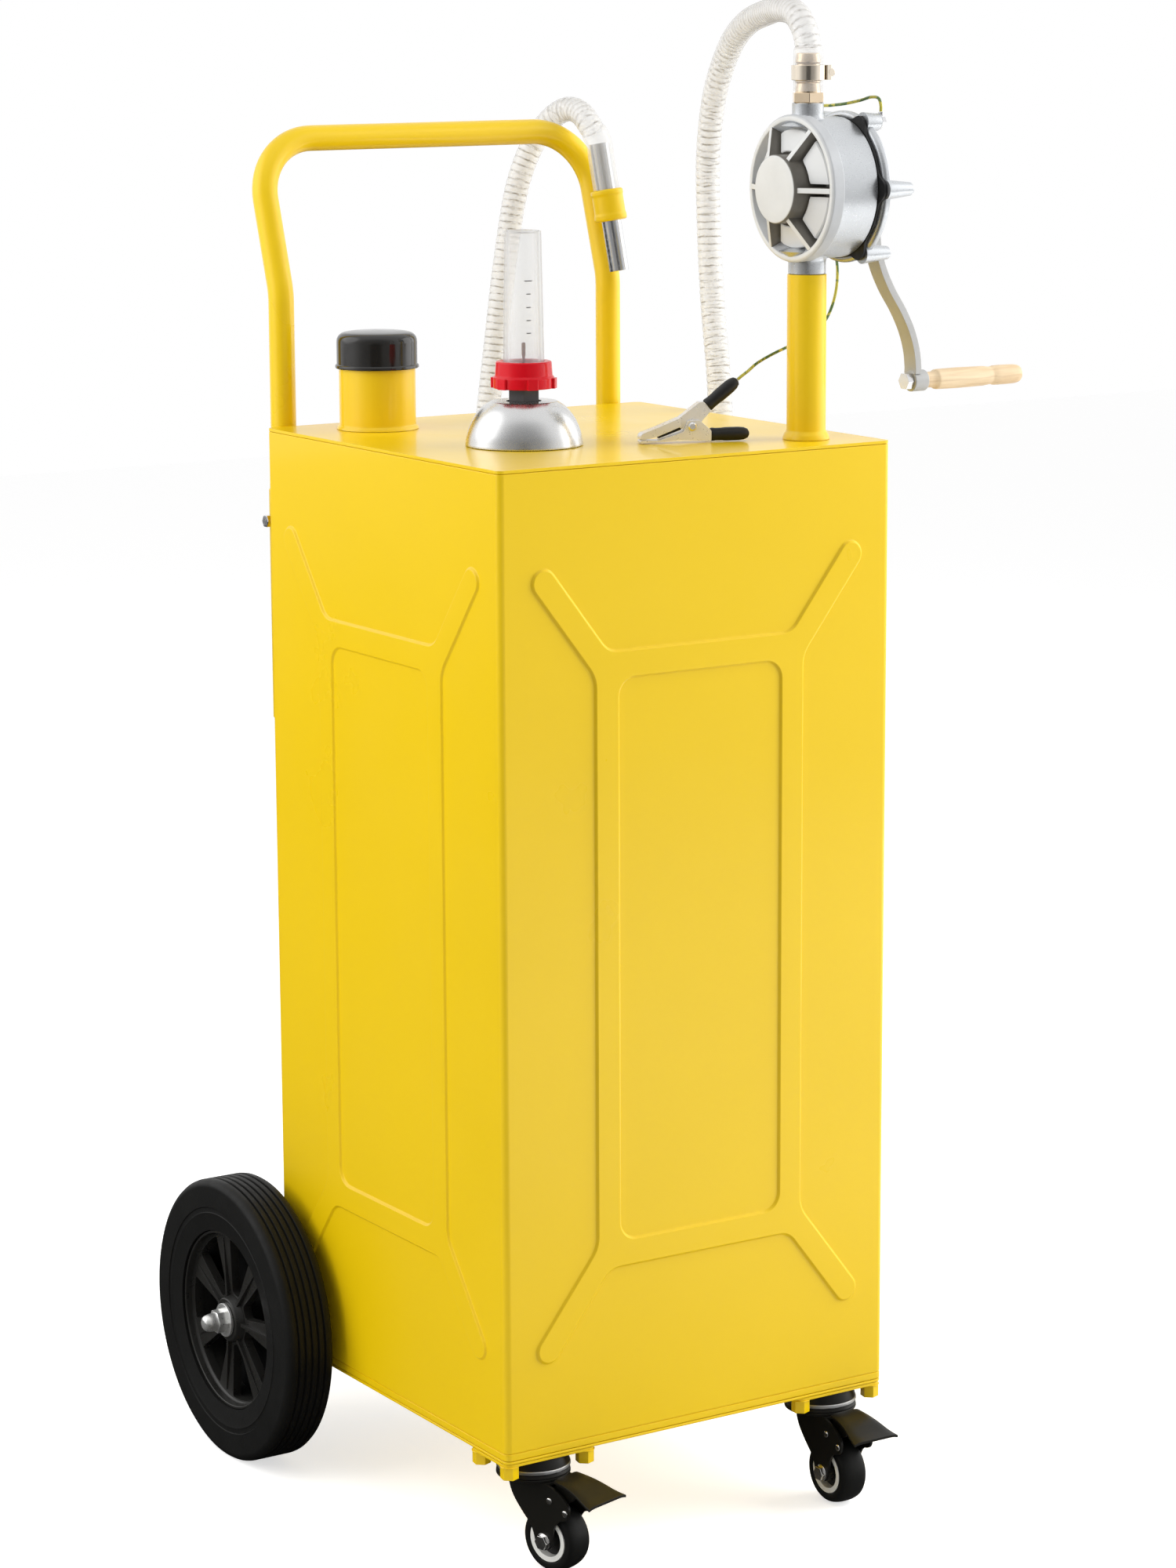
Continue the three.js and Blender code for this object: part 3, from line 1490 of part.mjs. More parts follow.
function handleBolt(side) {
  const headFrom = legX + socketRadius + gap;
  const nutTo = legX - socketRadius - gap;
  const shank = rodX(boltRadius, nutTo - boltNutLong, headFrom + boltHeadLong / 2, tinySides);
  const head = plateX(hexagon(boltHeadAcross), headFrom, headFrom + boltHeadLong);
  const nut = plateX(hexagon(boltHeadAcross), nutTo - boltNutLong, nutTo);
  const bolt = join(shank, head, nut).translate(0, legY, boltZ);
  return side > 0 ? bolt : bolt.rotateY(Math.PI).translate(0, 0, boltZ * 2);
}

// Axle, its brackets, and the big wheels
const axleY = tankHalf + axleBack;
const wheelX = tankHalf + wheelOut;
const hubInnerX = wheelX - hubInward;
const hubOuterX = wheelX + hubOutward;
const shoulderTo = hubInnerX - gap;
const washerFrom = hubOuterX + gap;
const nutSeat = washerFrom + washerThick;

function wheelAxle() {
  const right = [
    [axleShoulder, shoulderTo - axleShoulderLong],
    [axleShoulder, shoulderTo],
    [axleRadius, shoulderTo],
    [axleRadius, hubOuterX],
    [studRadius, hubOuterX],
    [studRadius, nutSeat + studLong],
    [0, nutSeat + studLong],
  ];
  const left = right.map(([radius, x]) => [radius, -x]).reverse();
  const plainTo = shoulderTo - axleShoulderLong;
  const middle = [[axleRadius, -plainTo], [axleRadius, plainTo]];
  return revolveX([...left, ...middle, ...right], tinySides).translate(0, axleY, axleZ);
}

function axleBracket(side) {
  const front = tankHalf + gap;
  const bracketX = tankHalf - bracketInset;
  const ear = [[front, axleZ - bracketTall / 2 + bracketRadius]];
  for (let i = 0; i <= earSteps; i += 1) {
    const angle = -turn / 4 + (turn / 2) * (i / earSteps);
    ear.push([axleY + bracketRadius * Math.cos(angle), axleZ + bracketRadius * Math.sin(angle)]);
  }
  ear.push([front, axleZ + bracketTall / 2 - bracketRadius]);
  const plate = block(
    bracketX - bracketFlange / 2,
    bracketX + bracketFlange / 2,
    front,
    front + bracketPlate,
    bracketUp,
    bracketUp + bracketTall,
  );
  const solid = join(plateX(ear, bracketX - bracketThick / 2, bracketX + bracketThick / 2), plate);
  const hole = rodX(axleRadius + gap, bracketX - bracketFlange, bracketX + bracketFlange, midSides);
  const bandRoom = raisedBand().rotateZ(Math.PI).translate(0, gap, 0);
  const bracket = cut(solid, hole.translate(0, axleY, axleZ), bandRoom);
  return side > 0 ? bracket : bracket.scale(-1, 1, 1);
}

// A wheel stands at the origin with its axle along X and its outer face towards +X
function tyre() {
  const shoulder = wheelRadius - tyreShoulder;
  const tread = [];
  const pitch = ((tyreHalf - tyreShoulder) * 2) / (treadGrooves + 1);
  for (let i = 1; i <= treadGrooves; i += 1) {
    const at = -tyreHalf + tyreShoulder + pitch * i;
    tread.push([wheelRadius, at - treadGrooveWide / 2]);
    tread.push([wheelRadius - treadGrooveDeep, at]);
    tread.push([wheelRadius, at + treadGrooveWide / 2]);
  }
  return revolveRingX([
    [beadRadius, -tyreHalf + wallDish],
    [shoulder, -tyreHalf],
    [wheelRadius, -tyreHalf + tyreShoulder],
    ...tread,
    [wheelRadius, tyreHalf - tyreShoulder],
    [shoulder, tyreHalf],
    [wallRadius, tyreHalf],
    [beadRadius, tyreHalf - wallDish],
  ], wideSides);
}

function spokeWindow(which) {
  const middle = (turn * (which + 1 / 2)) / spokes;
  const edge = (radius, halfSpoke, side) => {
    const angle = middle + side * (turn / spokes / 2 - Math.asin(halfSpoke / radius));
    return [radius * Math.cos(angle), radius * Math.sin(angle)];
  };
  const outer = [-1, 0, 1].map((share) => {
    const reach = turn / spokes / 2 - Math.asin(spokeAtRim / windowTo);
    const angle = middle + share * reach;
    return [windowTo * Math.cos(angle), windowTo * Math.sin(angle)];
  });
  return [edge(windowFrom, spokeAtHub, -1), ...outer, edge(windowFrom, spokeAtHub, 1)];
}

function rim() {
  const windows = Array.from({ length: spokes }, (_, i) => spokeWindow(i).reverse());
  const radius = rimRadius - rimWall / 2;
  const disc = Array.from({ length: wideSides }, (_, i) => [
    radius * Math.cos((turn * i) / wideSides),
    radius * Math.sin((turn * i) / wideSides),
  ]);
  const web = plateX(disc, webOutward, webOutward + webThick, windows);
  const band = revolveRingX([
    [rimRadius - rimWall, -rimHalf],
    [rimRadius, -rimHalf],
    [rimRadius, rimHalf],
    [rimRadius - rimWall, rimHalf],
  ], wideSides);
  const hub = revolveX([
    [0, -hubInward],
    [hubOuter, -hubInward],
    [hubWaist, webOutward],
    [hubWaist, webOutward + webThick],
    [hubOuter, hubOutward],
    [0, hubOutward],
  ], smallSides);
  const bore = rodX(axleRadius + gap, -hubInward - overrun, hubOutward + overrun, midSides);
  return cut(join(web, band, hub), bore);
}

function wheelNut() {
  const seat = nutSeat - wheelX;
  const washer = rodX(washerRadius, seat - washerThick, seat, midSides);
  const hex = plateX(hexagon(wheelNutAcross), seat - washerThick / 2, seat + wheelNutLong);
  const dome = revolveX([
    [0, seat],
    [wheelNutDome, seat],
    ...nutDomeShares.map(([across, along]) => [
      wheelNutDome * across,
      seat + wheelNutLong + wheelNutDome * along,
    ]),
  ], smallSides);
  const bore = rodX(studRadius + gap, seat - washerThick - overrun, seat + studLong + gap, midSides);
  return cut(join(washer, hex, dome), bore);
}

// Caster pieces: origin on the swivel axis at the tank's underside, rolling towards -Y
const padTop = -gap;
const padUnder = padTop - padPlate;
const raceFrom = padUnder - pivotDomeTall;
const raceTo = raceFrom - raceTall;
const forkTop = raceTo - gap;
const crownDrop = forkPlate - forkTop;
const casterAxleDrop = crownDrop + casterRoom + casterRadius;
const pedalPinDrop = crownDrop + casterRoom * pedalPinShare;
const pedalPinForward = trail + pedalPinAhead;
const pedalFrom = pedalPinForward + pedalHeelAhead;
const pedalTo = pedalFrom + pedalLong;
const pedalFromDrop = pedalPinDrop - pedalHeelRise;
const pedalToDrop = pedalFromDrop + pedalFall;

function casterMount() {
  const pad = plateZ(
    roundRectangle(boltAcross / 2 + padEdge, boltAlong / 2 + padEdge, padEdge, cornerSteps),
    padUnder,
    padTop,
  );
  const dome = revolve([
    [0, raceTo],
    [raceRadius - raceRound, raceTo],
    [raceRadius, raceTo + raceRound],
    [raceRadius, raceFrom],
    [pivotDomeRadius + raceRound, raceFrom],
    [pivotDomeRadius, padUnder + padPlate / 2],
    [0, padUnder + padPlate / 2],
  ], midSides);
  const nuts = [[-1, -1], [-1, 1], [1, -1], [1, 1]].map(([signX, signY]) => (
    plateZ(hexagon(casterNutAcross), padUnder - casterNutTall, padUnder + padPlate / 2)
      .translate((signX * boltAcross) / 2, (signY * boltAlong) / 2, 0)
  ));
  const kingpinRoom = rod(kingpinRadius + gap, raceTo - overrun, forkTop + kingpinTall + gap, smallSides);
  return cut(join(pad, dome, ...nuts), kingpinRoom);
}

function forkOutline() {
  const span = casterAxleDrop - crownDrop;
  return forkOutlineShares.map(([forward, down]) => [trail * forward, crownDrop + span * down]);
}

function sideOutline(points) {
  return points.map(([forward, down]) => [-forward, -down]);
}

function casterFork() {
  const outline = forkOutline();
  const cheeks = plateX(sideOutline(outline), -forkHalf, forkHalf);
  const foot = casterAxleDrop + casterRadius;
  const backEdge = outline.slice(forkHeelIndex).map(([forward, down]) => [forward + forkSheet, down]);
  const room = plateX(sideOutline([
    [outline[0][0] + forkSheet, crownDrop],
    [pedalTo, crownDrop],
    [pedalTo, foot],
    [outline[forkHeelIndex][0] + forkSheet, foot],
    ...backEdge,
  ]), -forkHalf + forkSheet, forkHalf - forkSheet);
  const wheelRoom = rodX(casterRadius + overrun, -forkHalf + forkSheet, forkHalf - forkSheet, midSides)
    .translate(0, -trail, -casterAxleDrop);
  const crown = rod(raceRadius, forkTop - forkPlate, forkTop, midSides);
  const kingpin = rod(kingpinRadius, forkTop - forkPlate / 2, forkTop + kingpinTall, smallSides);
  const axle = rodX(casterAxleRadius, -forkHalf, forkHalf, tinySides);
  const heads = [-1, 1].map((side) => plateX(
    hexagon(casterNutHead),
    Math.min(side * (forkHalf - forkSheet / 2), side * (forkHalf + casterNutHeadLong)),
    Math.max(side * (forkHalf - forkSheet / 2), side * (forkHalf + casterNutHeadLong)),
  ));
  const axleSet = join(axle, ...heads).translate(0, -trail, -casterAxleDrop);
  const pedalPin = rodX(pedalPinRadius, -forkHalf - forkSheet / 2, forkHalf + forkSheet / 2, tinySides)
    .translate(0, -pedalPinForward, -pedalPinDrop);
  return join(cut(cheeks, room, wheelRoom), crown, kingpin, axleSet, pedalPin);
}

function casterTyre() {
  const bore = (casterHubRadius + gap / 2) / Math.cos(Math.PI / rollerSides);
  const tread = casterTreadShares.map(([across, drop]) => [
    casterRadius - casterCrown * drop,
    casterHalf * across,
  ]);
  return revolveRingX([[bore, -casterHalf], ...tread, [bore, casterHalf]], rollerSides);
}

function casterHub() {
  const bore = casterAxleRadius + gap;
  const boss = forkHalf - forkSheet - gap;
  const half = casterHalf;
  const well = half - casterHubRecess;
  const lip = casterHubRadius - casterHubRecess;
  return revolveRingX([
    [bore, -boss],
    [casterHubBoss, -boss],
    [casterHubBoss, -well],
    [lip, -half],
    [casterHubRadius, -half],
    [casterHubRadius, half],
    [lip, half],
    [casterHubBoss, well],
    [casterHubBoss, boss],
    [bore, boss],
  ], smallSides);
}

function pedalRing(forward, drop, half) {
  return [
    new THREE.Vector3(-half, -forward, -drop),
    new THREE.Vector3(half, -forward, -drop),
    new THREE.Vector3(half, -forward, -drop - pedalSheet),
    new THREE.Vector3(-half, -forward, -drop - pedalSheet),
  ];
}

function casterPedal() {
  const tread = loft([
    pedalRing(pedalFrom, pedalFromDrop, pedalFromHalf),
    pedalRing(pedalTo, pedalToDrop, pedalToHalf),
  ]);
  const slope = (pedalToDrop - pedalFromDrop) / (pedalTo - pedalFrom);
  const under = (forward) => pedalFromDrop + slope * (forward - pedalFrom) + pedalSheet / 2;
  const nose = pedalFrom + (pedalTo - pedalFrom) / 2;
  const stalk = plateX(sideOutline([
    [pedalFrom, under(pedalFrom)],
    [nose, under(nose)],
    [nose - pedalBarrel, pedalPinDrop - pedalPinRadius],
    [pedalPinForward + pedalBarrel * 2, pedalPinDrop + pedalPinRadius],
    [pedalPinForward, pedalPinDrop + pedalBarrel],
    [pedalPinForward - pedalBarrel, pedalPinDrop],
  ]), -pedalHalf, pedalHalf);
  const barrel = rodX(pedalBarrel, -pedalHalf, pedalHalf, smallSides);
  const pinHole = rodX(pedalPinRadius + gap, -forkHalf, forkHalf, smallSides);
  return cut(
    join(tread, stalk, barrel.translate(0, -pedalPinForward, -pedalPinDrop)),
    pinHole.translate(0, -pedalPinForward, -pedalPinDrop),
  );
}

// Assembly
piece(caddy, 'tank_wrap', tankWrap(), 'yellowPaint');
piece(caddy, 'tank_top', tankTop(), 'yellowPaint');
piece(caddy, 'tank_bottom', tankBottom(), 'yellowPaint');

const filler = new THREE.Group();
filler.position.set(fillerX, fillerY, 0);
caddy.add(filler);
piece(filler, 'filler_neck', fillerNeck(), 'yellowPaint');
piece(filler, 'filler_cap', fillerCap(), 'blackPlastic');

const gauge = new THREE.Group();
gauge.position.set(gaugeX, gaugeY, 0);
caddy.add(gauge);
piece(gauge, 'gauge_boss', gaugeBoss(), 'yellowPaint');
piece(gauge, 'gauge_dome', gaugeDome(), 'silverDome');
piece(gauge, 'gauge_stem', gaugeStem(), 'greyMetal');
piece(gauge, 'gauge_nut', gaugeNut(), 'redPlastic');
piece(gauge, 'gauge_tube', gaugeTube(), 'clearPlastic');
piece(gauge, 'gauge_rod', gaugeRod(), 'blackPlastic');
piece(gauge, 'gauge_float', gaugeFloat(), 'whiteNylon');

const column = new THREE.Group();
column.position.set(riserX, riserY, 0);
caddy.add(column);
piece(column, 'riser_pipe', riserPipe(), 'yellowPaint');
piece(column, 'suction_tube', suctionTube(), 'zinc');
piece(column, 'outlet_barb', outletBarb(), 'brass');
piece(column, 'hose_clamp', hoseClamp(), 'zinc');

const pump = new THREE.Group();
pump.position.set(riserX, riserY, pumpZ);
caddy.add(pump);
piece(pump, 'pump_front_cover', pumpFrontCover(), 'whiteAluminium');
piece(pump, 'pump_body', pumpBody(), 'castAluminium');
piece(pump, 'pump_gasket', pumpGasket(), 'blackRubber');
piece(pump, 'pump_rear_cover', pumpRearCover(), 'castAluminium');
piece(pump, 'shaft_gland', shaftGland(), 'zinc');
piece(pump, 'pump_rotor', pumpRotor(), 'zinc');
piece(pump, 'crank_arm', crankArm(), 'castAluminium');
piece(pump, 'earth_lug', earthLug(), 'zinc');
const gripAxis = new THREE.Group();
gripAxis.position.set(0, 0, -crankRadius);
pump.add(gripAxis);
piece(gripAxis, 'grip_pin', gripPin(), 'zinc');
piece(gripAxis, 'crank_grip', crankGrip(), 'wood');

piece(caddy, 'hose', hose(), 'clearPlastic');
piece(caddy, 'spout', spout(), 'castAluminium');
piece(caddy, 'spout_sleeve', spoutSleeve(), 'yellowPaint');
piece(caddy, 'ground_wire', groundWire(), 'wireJacket');

const clip = new THREE.Group();
clip.position.set(clipX, clipY, lidTop);
clip.rotation.z = clipTurn;
caddy.add(clip);
piece(clip, 'clip_lower', clipLower(), 'zinc');
piece(clip, 'clip_upper', clipUpper(), 'zinc');
piece(clip, 'clip_rivet', clipRivetPin(), 'zinc');
const lowerGrip = piece(clip, 'clip_grip_lower', gripSolid(), 'blackPlastic');
lowerGrip.rotation.y = Math.PI / 2;
lowerGrip.position.set(lowerGripAlong, 0, lowerGripUp);
const upperGrip = piece(clip, 'clip_grip_upper', gripSolid(), 'blackPlastic');
upperGrip.rotation.y = Math.PI / 2 - upperGripLean;
upperGrip.position.set(upperGripAlong, 0, upperGripUp);

piece(caddy, 'handle_tube', handleTube(), 'yellowPaint');
piece(caddy, 'wheel_axle', wheelAxle(), 'zinc');

const casterX = tankHalf - casterInsetSide;
const casterY = casterInsetFront - tankHalf;
const hands = [['left', -1], ['right', 1]];
hands.forEach(([hand, side]) => {
  piece(caddy, `handle_socket_${hand}`, handleSocket(side), 'yellowPaint');
  piece(caddy, `handle_bolt_${hand}`, handleBolt(side), 'zinc');
  piece(caddy, `axle_bracket_${hand}`, axleBracket(side), 'yellowPaint');

  const wheel = new THREE.Group();
  wheel.position.set(side * wheelX, axleY, axleZ);
  wheel.rotation.z = side > 0 ? 0 : Math.PI;
  caddy.add(wheel);
  piece(wheel, `wheel_tyre_${hand}`, tyre(), 'blackRubber');
  piece(wheel, `wheel_rim_${hand}`, rim(), 'blackPlastic');
  piece(wheel, `wheel_nut_${hand}`, wheelNut(), 'zinc');

  const mount = new THREE.Group();
  mount.position.set(side * casterX, casterY, 0);
  caddy.add(mount);
  piece(mount, `caster_mount_${hand}`, casterMount(), 'yellowPaint');
  const swivel = new THREE.Group();
  swivel.rotation.z = casterTurns[hand];
  mount.add(swivel);
  piece(swivel, `caster_fork_${hand}`, casterFork(), 'blackSteel');
  piece(swivel, `caster_pedal_${hand}`, casterPedal(), 'blackSteel');
  const roller = new THREE.Group();
  roller.position.set(0, -trail, -casterAxleDrop);
  swivel.add(roller);
  piece(roller, `caster_tyre_${hand}`, casterTyre(), 'blackRubber');
  piece(roller, `caster_hub_${hand}`, casterHub(), 'whiteNylon');
});

export default caddy;
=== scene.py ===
import json
import math

import bmesh
import bpy
import numpy as np
from mathutils import Matrix, Vector


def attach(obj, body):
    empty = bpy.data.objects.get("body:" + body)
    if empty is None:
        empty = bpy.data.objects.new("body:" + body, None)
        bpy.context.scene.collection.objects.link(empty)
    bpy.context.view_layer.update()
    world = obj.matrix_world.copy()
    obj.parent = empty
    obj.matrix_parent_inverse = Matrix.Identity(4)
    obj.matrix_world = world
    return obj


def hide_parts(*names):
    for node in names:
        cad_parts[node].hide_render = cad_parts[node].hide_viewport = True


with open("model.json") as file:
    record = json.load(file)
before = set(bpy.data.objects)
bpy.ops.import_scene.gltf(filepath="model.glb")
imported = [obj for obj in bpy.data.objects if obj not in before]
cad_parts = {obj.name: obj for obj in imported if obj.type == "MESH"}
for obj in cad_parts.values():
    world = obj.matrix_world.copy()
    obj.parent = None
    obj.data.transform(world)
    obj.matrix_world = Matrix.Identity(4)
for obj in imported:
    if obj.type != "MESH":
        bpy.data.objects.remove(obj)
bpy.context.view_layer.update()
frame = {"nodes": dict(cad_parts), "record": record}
nodes = frame["nodes"]
record = frame["record"]
BODY_OF = {node: body for body, members in record["behaviour"]["bodies"].items() for node in members}
SLOT_OF = {entry["node"]: entry["material_slot"] for entry in record["subparts"]}
MM = 0.001
TURN = 2 * math.pi
GAP = 0.3

# Camera
CAMERA_PLACE = Vector((-1.8411, -2.9114, 1.1958))
CAMERA_AZIMUTH = math.radians(-32.487)
CAMERA_LIFT = math.radians(11.175)
CAMERA_ROLL = math.radians(-0.270)
CAMERA_LENS = 94.415


def make_camera():
    data = bpy.data.cameras.new("camera")
    camera = bpy.data.objects.new("camera", data)
    bpy.context.scene.collection.objects.link(camera)
    back = Vector((
        math.sin(CAMERA_AZIMUTH) * math.cos(CAMERA_LIFT),
        -math.cos(CAMERA_AZIMUTH) * math.cos(CAMERA_LIFT),
        math.sin(CAMERA_LIFT),
    ))
    right = Vector((math.cos(CAMERA_AZIMUTH), math.sin(CAMERA_AZIMUTH), 0))
    up = back.cross(right)
    turned_right = right * math.cos(CAMERA_ROLL) + up * math.sin(CAMERA_ROLL)
    turned_up = up * math.cos(CAMERA_ROLL) - right * math.sin(CAMERA_ROLL)
    basis = Matrix((turned_right, turned_up, back)).transposed().to_4x4()
    camera.matrix_world = Matrix.Translation(CAMERA_PLACE) @ basis
    data.lens = CAMERA_LENS
    data.sensor_width = 36
    data.clip_end = 50
    bpy.context.scene.camera = camera


make_camera()


# Materials. Most of a noise lies between these two levels
NOISE_SPAN = (0.3, 0.7)


class Nodes:
    """Adds and links the nodes of one material or world."""

    def __init__(self, owner):
        owner.use_nodes = True
        self.tree = owner.node_tree

    def add(self, kind, **settings):
        made = self.tree.nodes.new(kind)
        for name, value in settings.items():
            setattr(made, name, value)
        return made

    def set(self, node, socket, value):
        if isinstance(value, bpy.types.NodeSocket):
            self.tree.links.new(value, node.inputs[socket])
        else:
            node.inputs[socket].default_value = value

    def fit(self, value, low, high, to_low, to_high, how="LINEAR"):
        made = self.add("ShaderNodeMapRange", interpolation_type=how)
        self.set(made, "Value", value)
        self.set(made, "From Min", low)
        self.set(made, "From Max", high)
        self.set(made, "To Min", to_low)
        self.set(made, "To Max", to_high)
        return made.outputs["Result"]

    def math(self, kind, first, second=0.5):
        made = self.add("ShaderNodeMath", operation=kind)
        self.set(made, 0, first)
        self.set(made, 1, second)
        return made.outputs["Value"]

    def mix(self, share, first, second):
        made = self.add("ShaderNodeMix", data_type="RGBA")
        self.set(made, 0, share)
        for socket, value in ((6, first), (7, second)):
            self.set(made, socket, value if isinstance(value, bpy.types.NodeSocket) else (*value, 1))
        return made.outputs[2]

    def toward(self, source, direction):
        """How far a vector points along a direction."""
        made = self.add("ShaderNodeVectorMath", operation="DOT_PRODUCT")
        self.set(made, 0, source)
        self.set(made, 1, direction)
        return made.outputs["Value"]


class Look(Nodes):
    """A material built node by node round one Principled shader."""

    def __init__(self, name, base, rough, metal=0.0):
        self.name = name
        self.material = bpy.data.materials.new(name)
        super().__init__(self.material)
        self.shader = self.tree.nodes["Principled BSDF"]
        self.set(self.shader, "Base Color", (*base, 1))
        self.set(self.shader, "Roughness", rough)
        self.set(self.shader, "Metallic", metal)
        self.place = self.add("ShaderNodeTexCoord").outputs["Object"]

    def noise(self, scale, detail=3.0, rough=0.55, stretch=(1, 1, 1), distort=0.0):
        spread = self.add("ShaderNodeMapping")
        self.set(spread, "Vector", self.place)
        self.set(spread, "Scale", stretch)
        made = self.add("ShaderNodeTexNoise")
        self.set(made, "Vector", spread.outputs["Vector"])
        self.set(made, "Scale", scale)
        self.set(made, "Detail", detail)
        self.set(made, "Roughness", rough)
        self.set(made, "Distortion", distort)
        return made.outputs["Fac"]

    def tone(self, scale, detail, low=0.0, high=1.0, rough=0.55):
        """Noise stretched to run from low to high."""
        return self.fit(self.noise(scale, detail, rough), *NOISE_SPAN, low, high)

    def worn(self, base, share, scale, detail):
        """Gives the base colour broad patches that are a little darker."""
        darker = tuple(channel * share for channel in base)
        self.base(self.mix(self.tone(scale, detail), darker, base))

    def edges(self, power):
        """Grows from the middle of a clear wall to where it is seen edge on."""
        made = self.add("ShaderNodeLayerWeight")
        self.set(made, "Blend", 0.5)
        return self.math("POWER", made.outputs["Facing"], power)

    def base(self, value):
        self.set(self.shader, "Base Color", value)

    def rough(self, value):
        self.set(self.shader, "Roughness", value)

    def bump(self, height, depth, strength=1.0):
        made = self.add("ShaderNodeBump")
        self.set(made, "Strength", strength)
        self.set(made, "Distance", depth)
        self.set(made, "Height", height)
        self.set(self.shader, "Normal", made.outputs["Normal"])


YELLOW = (0.86, 0.58, 0.003)


def paint_look(name, base=YELLOW, rough=0.3, coat=0.25, flake=420.0, gloss=0.4):
    look = Look(name, base, rough)
    look.set(look.shader, "Specular IOR Level", gloss)
    look.worn(base, 0.95, 2.6, 3.0)
    look.rough(look.tone(8.0, 4.0, rough - 0.03, rough + 0.04))
    peel = look.math("MULTIPLY", look.noise(flake, 1.0, 0.5), 0.05)
    wave = look.noise(4.0, 0.0, 0.4)
    look.bump(look.math("ADD", peel, wave), 0.0005, 0.2)
    look.set(look.shader, "Coat Weight", coat)
    look.set(look.shader, "Coat Roughness", 0.06)
    return look


def moulded_look(name, base, rough, grain=900.0, depth=0.00005, dust=0.85, gloss=0.5):
    look = Look(name, base, rough)
    look.set(look.shader, "Specular IOR Level", gloss)
    look.worn(base, dust, 14.0, 3.0)
    look.rough(look.tone(90.0, 4.0, rough - 0.05, rough + 0.07))
    look.bump(look.noise(grain, 2.0), depth, 0.6)
    return look


def metal_look(name, base, rough, grain=300.0, depth=0.00004, metal=1.0):
    look = Look(name, base, rough, metal)
    look.worn(base, 0.9, 18.0, 4.0)
    look.rough(look.tone(grain, 4.0, rough - 0.05, rough + 0.08, 0.6))
    look.bump(look.noise(grain, 3.0, 0.6), depth, 0.5)
    return look


def clear_look(name, base, rim, rough, alpha, rim_alpha):
    """A clear plastic wall: thin and pale where it faces the eye, denser and greyer at its edges."""
    look = Look(name, base, rough)
    edge = look.edges(1.6)
    look.base(look.mix(edge, base, rim))
    look.rough(look.tone(120.0, 3.0, rough, rough + 0.06))
    look.set(look.shader, "Alpha", look.fit(edge, 0.0, 1.0, alpha, rim_alpha))
    look.set(look.shader, "IOR", 1.45)
    return look


def hose_look():
    """Clear ribbed hose: milky wall with painted shade, thin broken dark lines in the valleys between the
    ribs.
    """
    look = Look("hose_plastic", (0.86, 0.85, 0.83), 0.2)
    run = look.add("ShaderNodeUVMap", uv_map="run").outputs["UV"]
    split = look.add("ShaderNodeSeparateXYZ")
    look.set(split, 0, run)
    along, around = split.outputs["X"], split.outputs["Y"]
    wobble = look.tone(90.0, 2.0, -0.12, 0.12)
    phase = look.math("FRACT", look.math("ADD", along, wobble))
    away = look.math("ABSOLUTE", look.math("SUBTRACT", phase, 0.5))
    line = look.fit(away, 0.04, 0.13, 1.0, 0.0)
    broken = look.fit(look.noise(150.0, 2.0), 0.4, 0.6, 0.25, 0.85)
    ribbed = look.fit(around, 0.45, 0.55, 0.0, 1.0)
    # Painted shade: dark lines in the valleys between the ribs, also made more opaque.
    painted_valley_shade = look.math("MULTIPLY", look.math("MULTIPLY", line, broken), ribbed)
    edge = look.edges(2.6)
    wall = look.mix(edge, (0.9, 0.895, 0.88), (0.5, 0.48, 0.45))
    look.base(look.mix(painted_valley_shade, wall, (0.27, 0.24, 0.2)))
    dense = look.fit(edge, 0.0, 1.0, 0.3, 0.72)
    dense = look.math("MULTIPLY", dense, look.fit(around, 0.0, 1.0, 0.55, 1.0))
    look.set(look.shader, "Alpha", look.math("MAXIMUM", dense, painted_valley_shade))
    look.rough(look.tone(120.0, 3.0, 0.14, 0.24))
    look.set(look.shader, "IOR", 1.48)
    return look


def cover_painted_shade_look(name, shaded_flank_low, shaded_flank_high):
    """Cast cover: pale on the faces that look out along the shaft, with painted shade darkening the flanks
    that face across it.
    """
    look = Look(name, (0.76, 0.765, 0.755), 0.36)
    split = look.add("ShaderNodeSeparateXYZ")
    look.set(split, 0, look.add("ShaderNodeTexCoord").outputs["Normal"])
    # Painted shade: surfaces that do not face along the shaft get the darker flank colours.
    out = look.fit(look.math("ABSOLUTE", split.outputs["X"], 0.0), 0.55, 0.9, 0.0, 1.0)
    tone = look.tone(30.0, 4.0)
    painted_flank_shade = look.mix(tone, shaded_flank_low, shaded_flank_high)
    face = look.mix(tone, (0.7, 0.705, 0.69), (0.77, 0.775, 0.76))
    look.base(look.mix(out, painted_flank_shade, face))
    look.rough(look.tone(300.0, 3.0, 0.3, 0.42))
    look.bump(look.noise(700.0, 2.0), 0.00005, 0.5)
    return look


def wood_look():
    look = Look("wood", (0.82, 0.63, 0.4), 0.42)
    grain = look.noise(60.0, 5.0, 0.6, (0.12, 1, 1), 0.6)
    fine = look.noise(420.0, 2.0, 0.5, (0.05, 1, 1))
    tone = look.fit(grain, 0.35, 0.65, 0.0, 1.0)
    pale = look.mix(tone, (0.7, 0.5, 0.28), (0.88, 0.71, 0.48))
    look.base(look.mix(look.fit(fine, 0.5, 0.7, 0.0, 0.35), pale, (0.55, 0.36, 0.18)))
    look.rough(look.fit(grain, *NOISE_SPAN, 0.36, 0.5))
    look.bump(fine, 0.00008, 0.5)
    return look


def wire_look():
    look = Look("wire_jacket", (0.3, 0.33, 0.08), 0.35)
    stripe = look.noise(110.0, 1.0, 0.4, (1, 1, 1), 1.5)
    look.base(look.mix(look.fit(stripe, 0.47, 0.53, 0.0, 1.0), (0.09, 0.16, 0.04), (0.5, 0.45, 0.06)))
    look.rough(look.tone(200.0, 3.0, 0.28, 0.42))
    return look


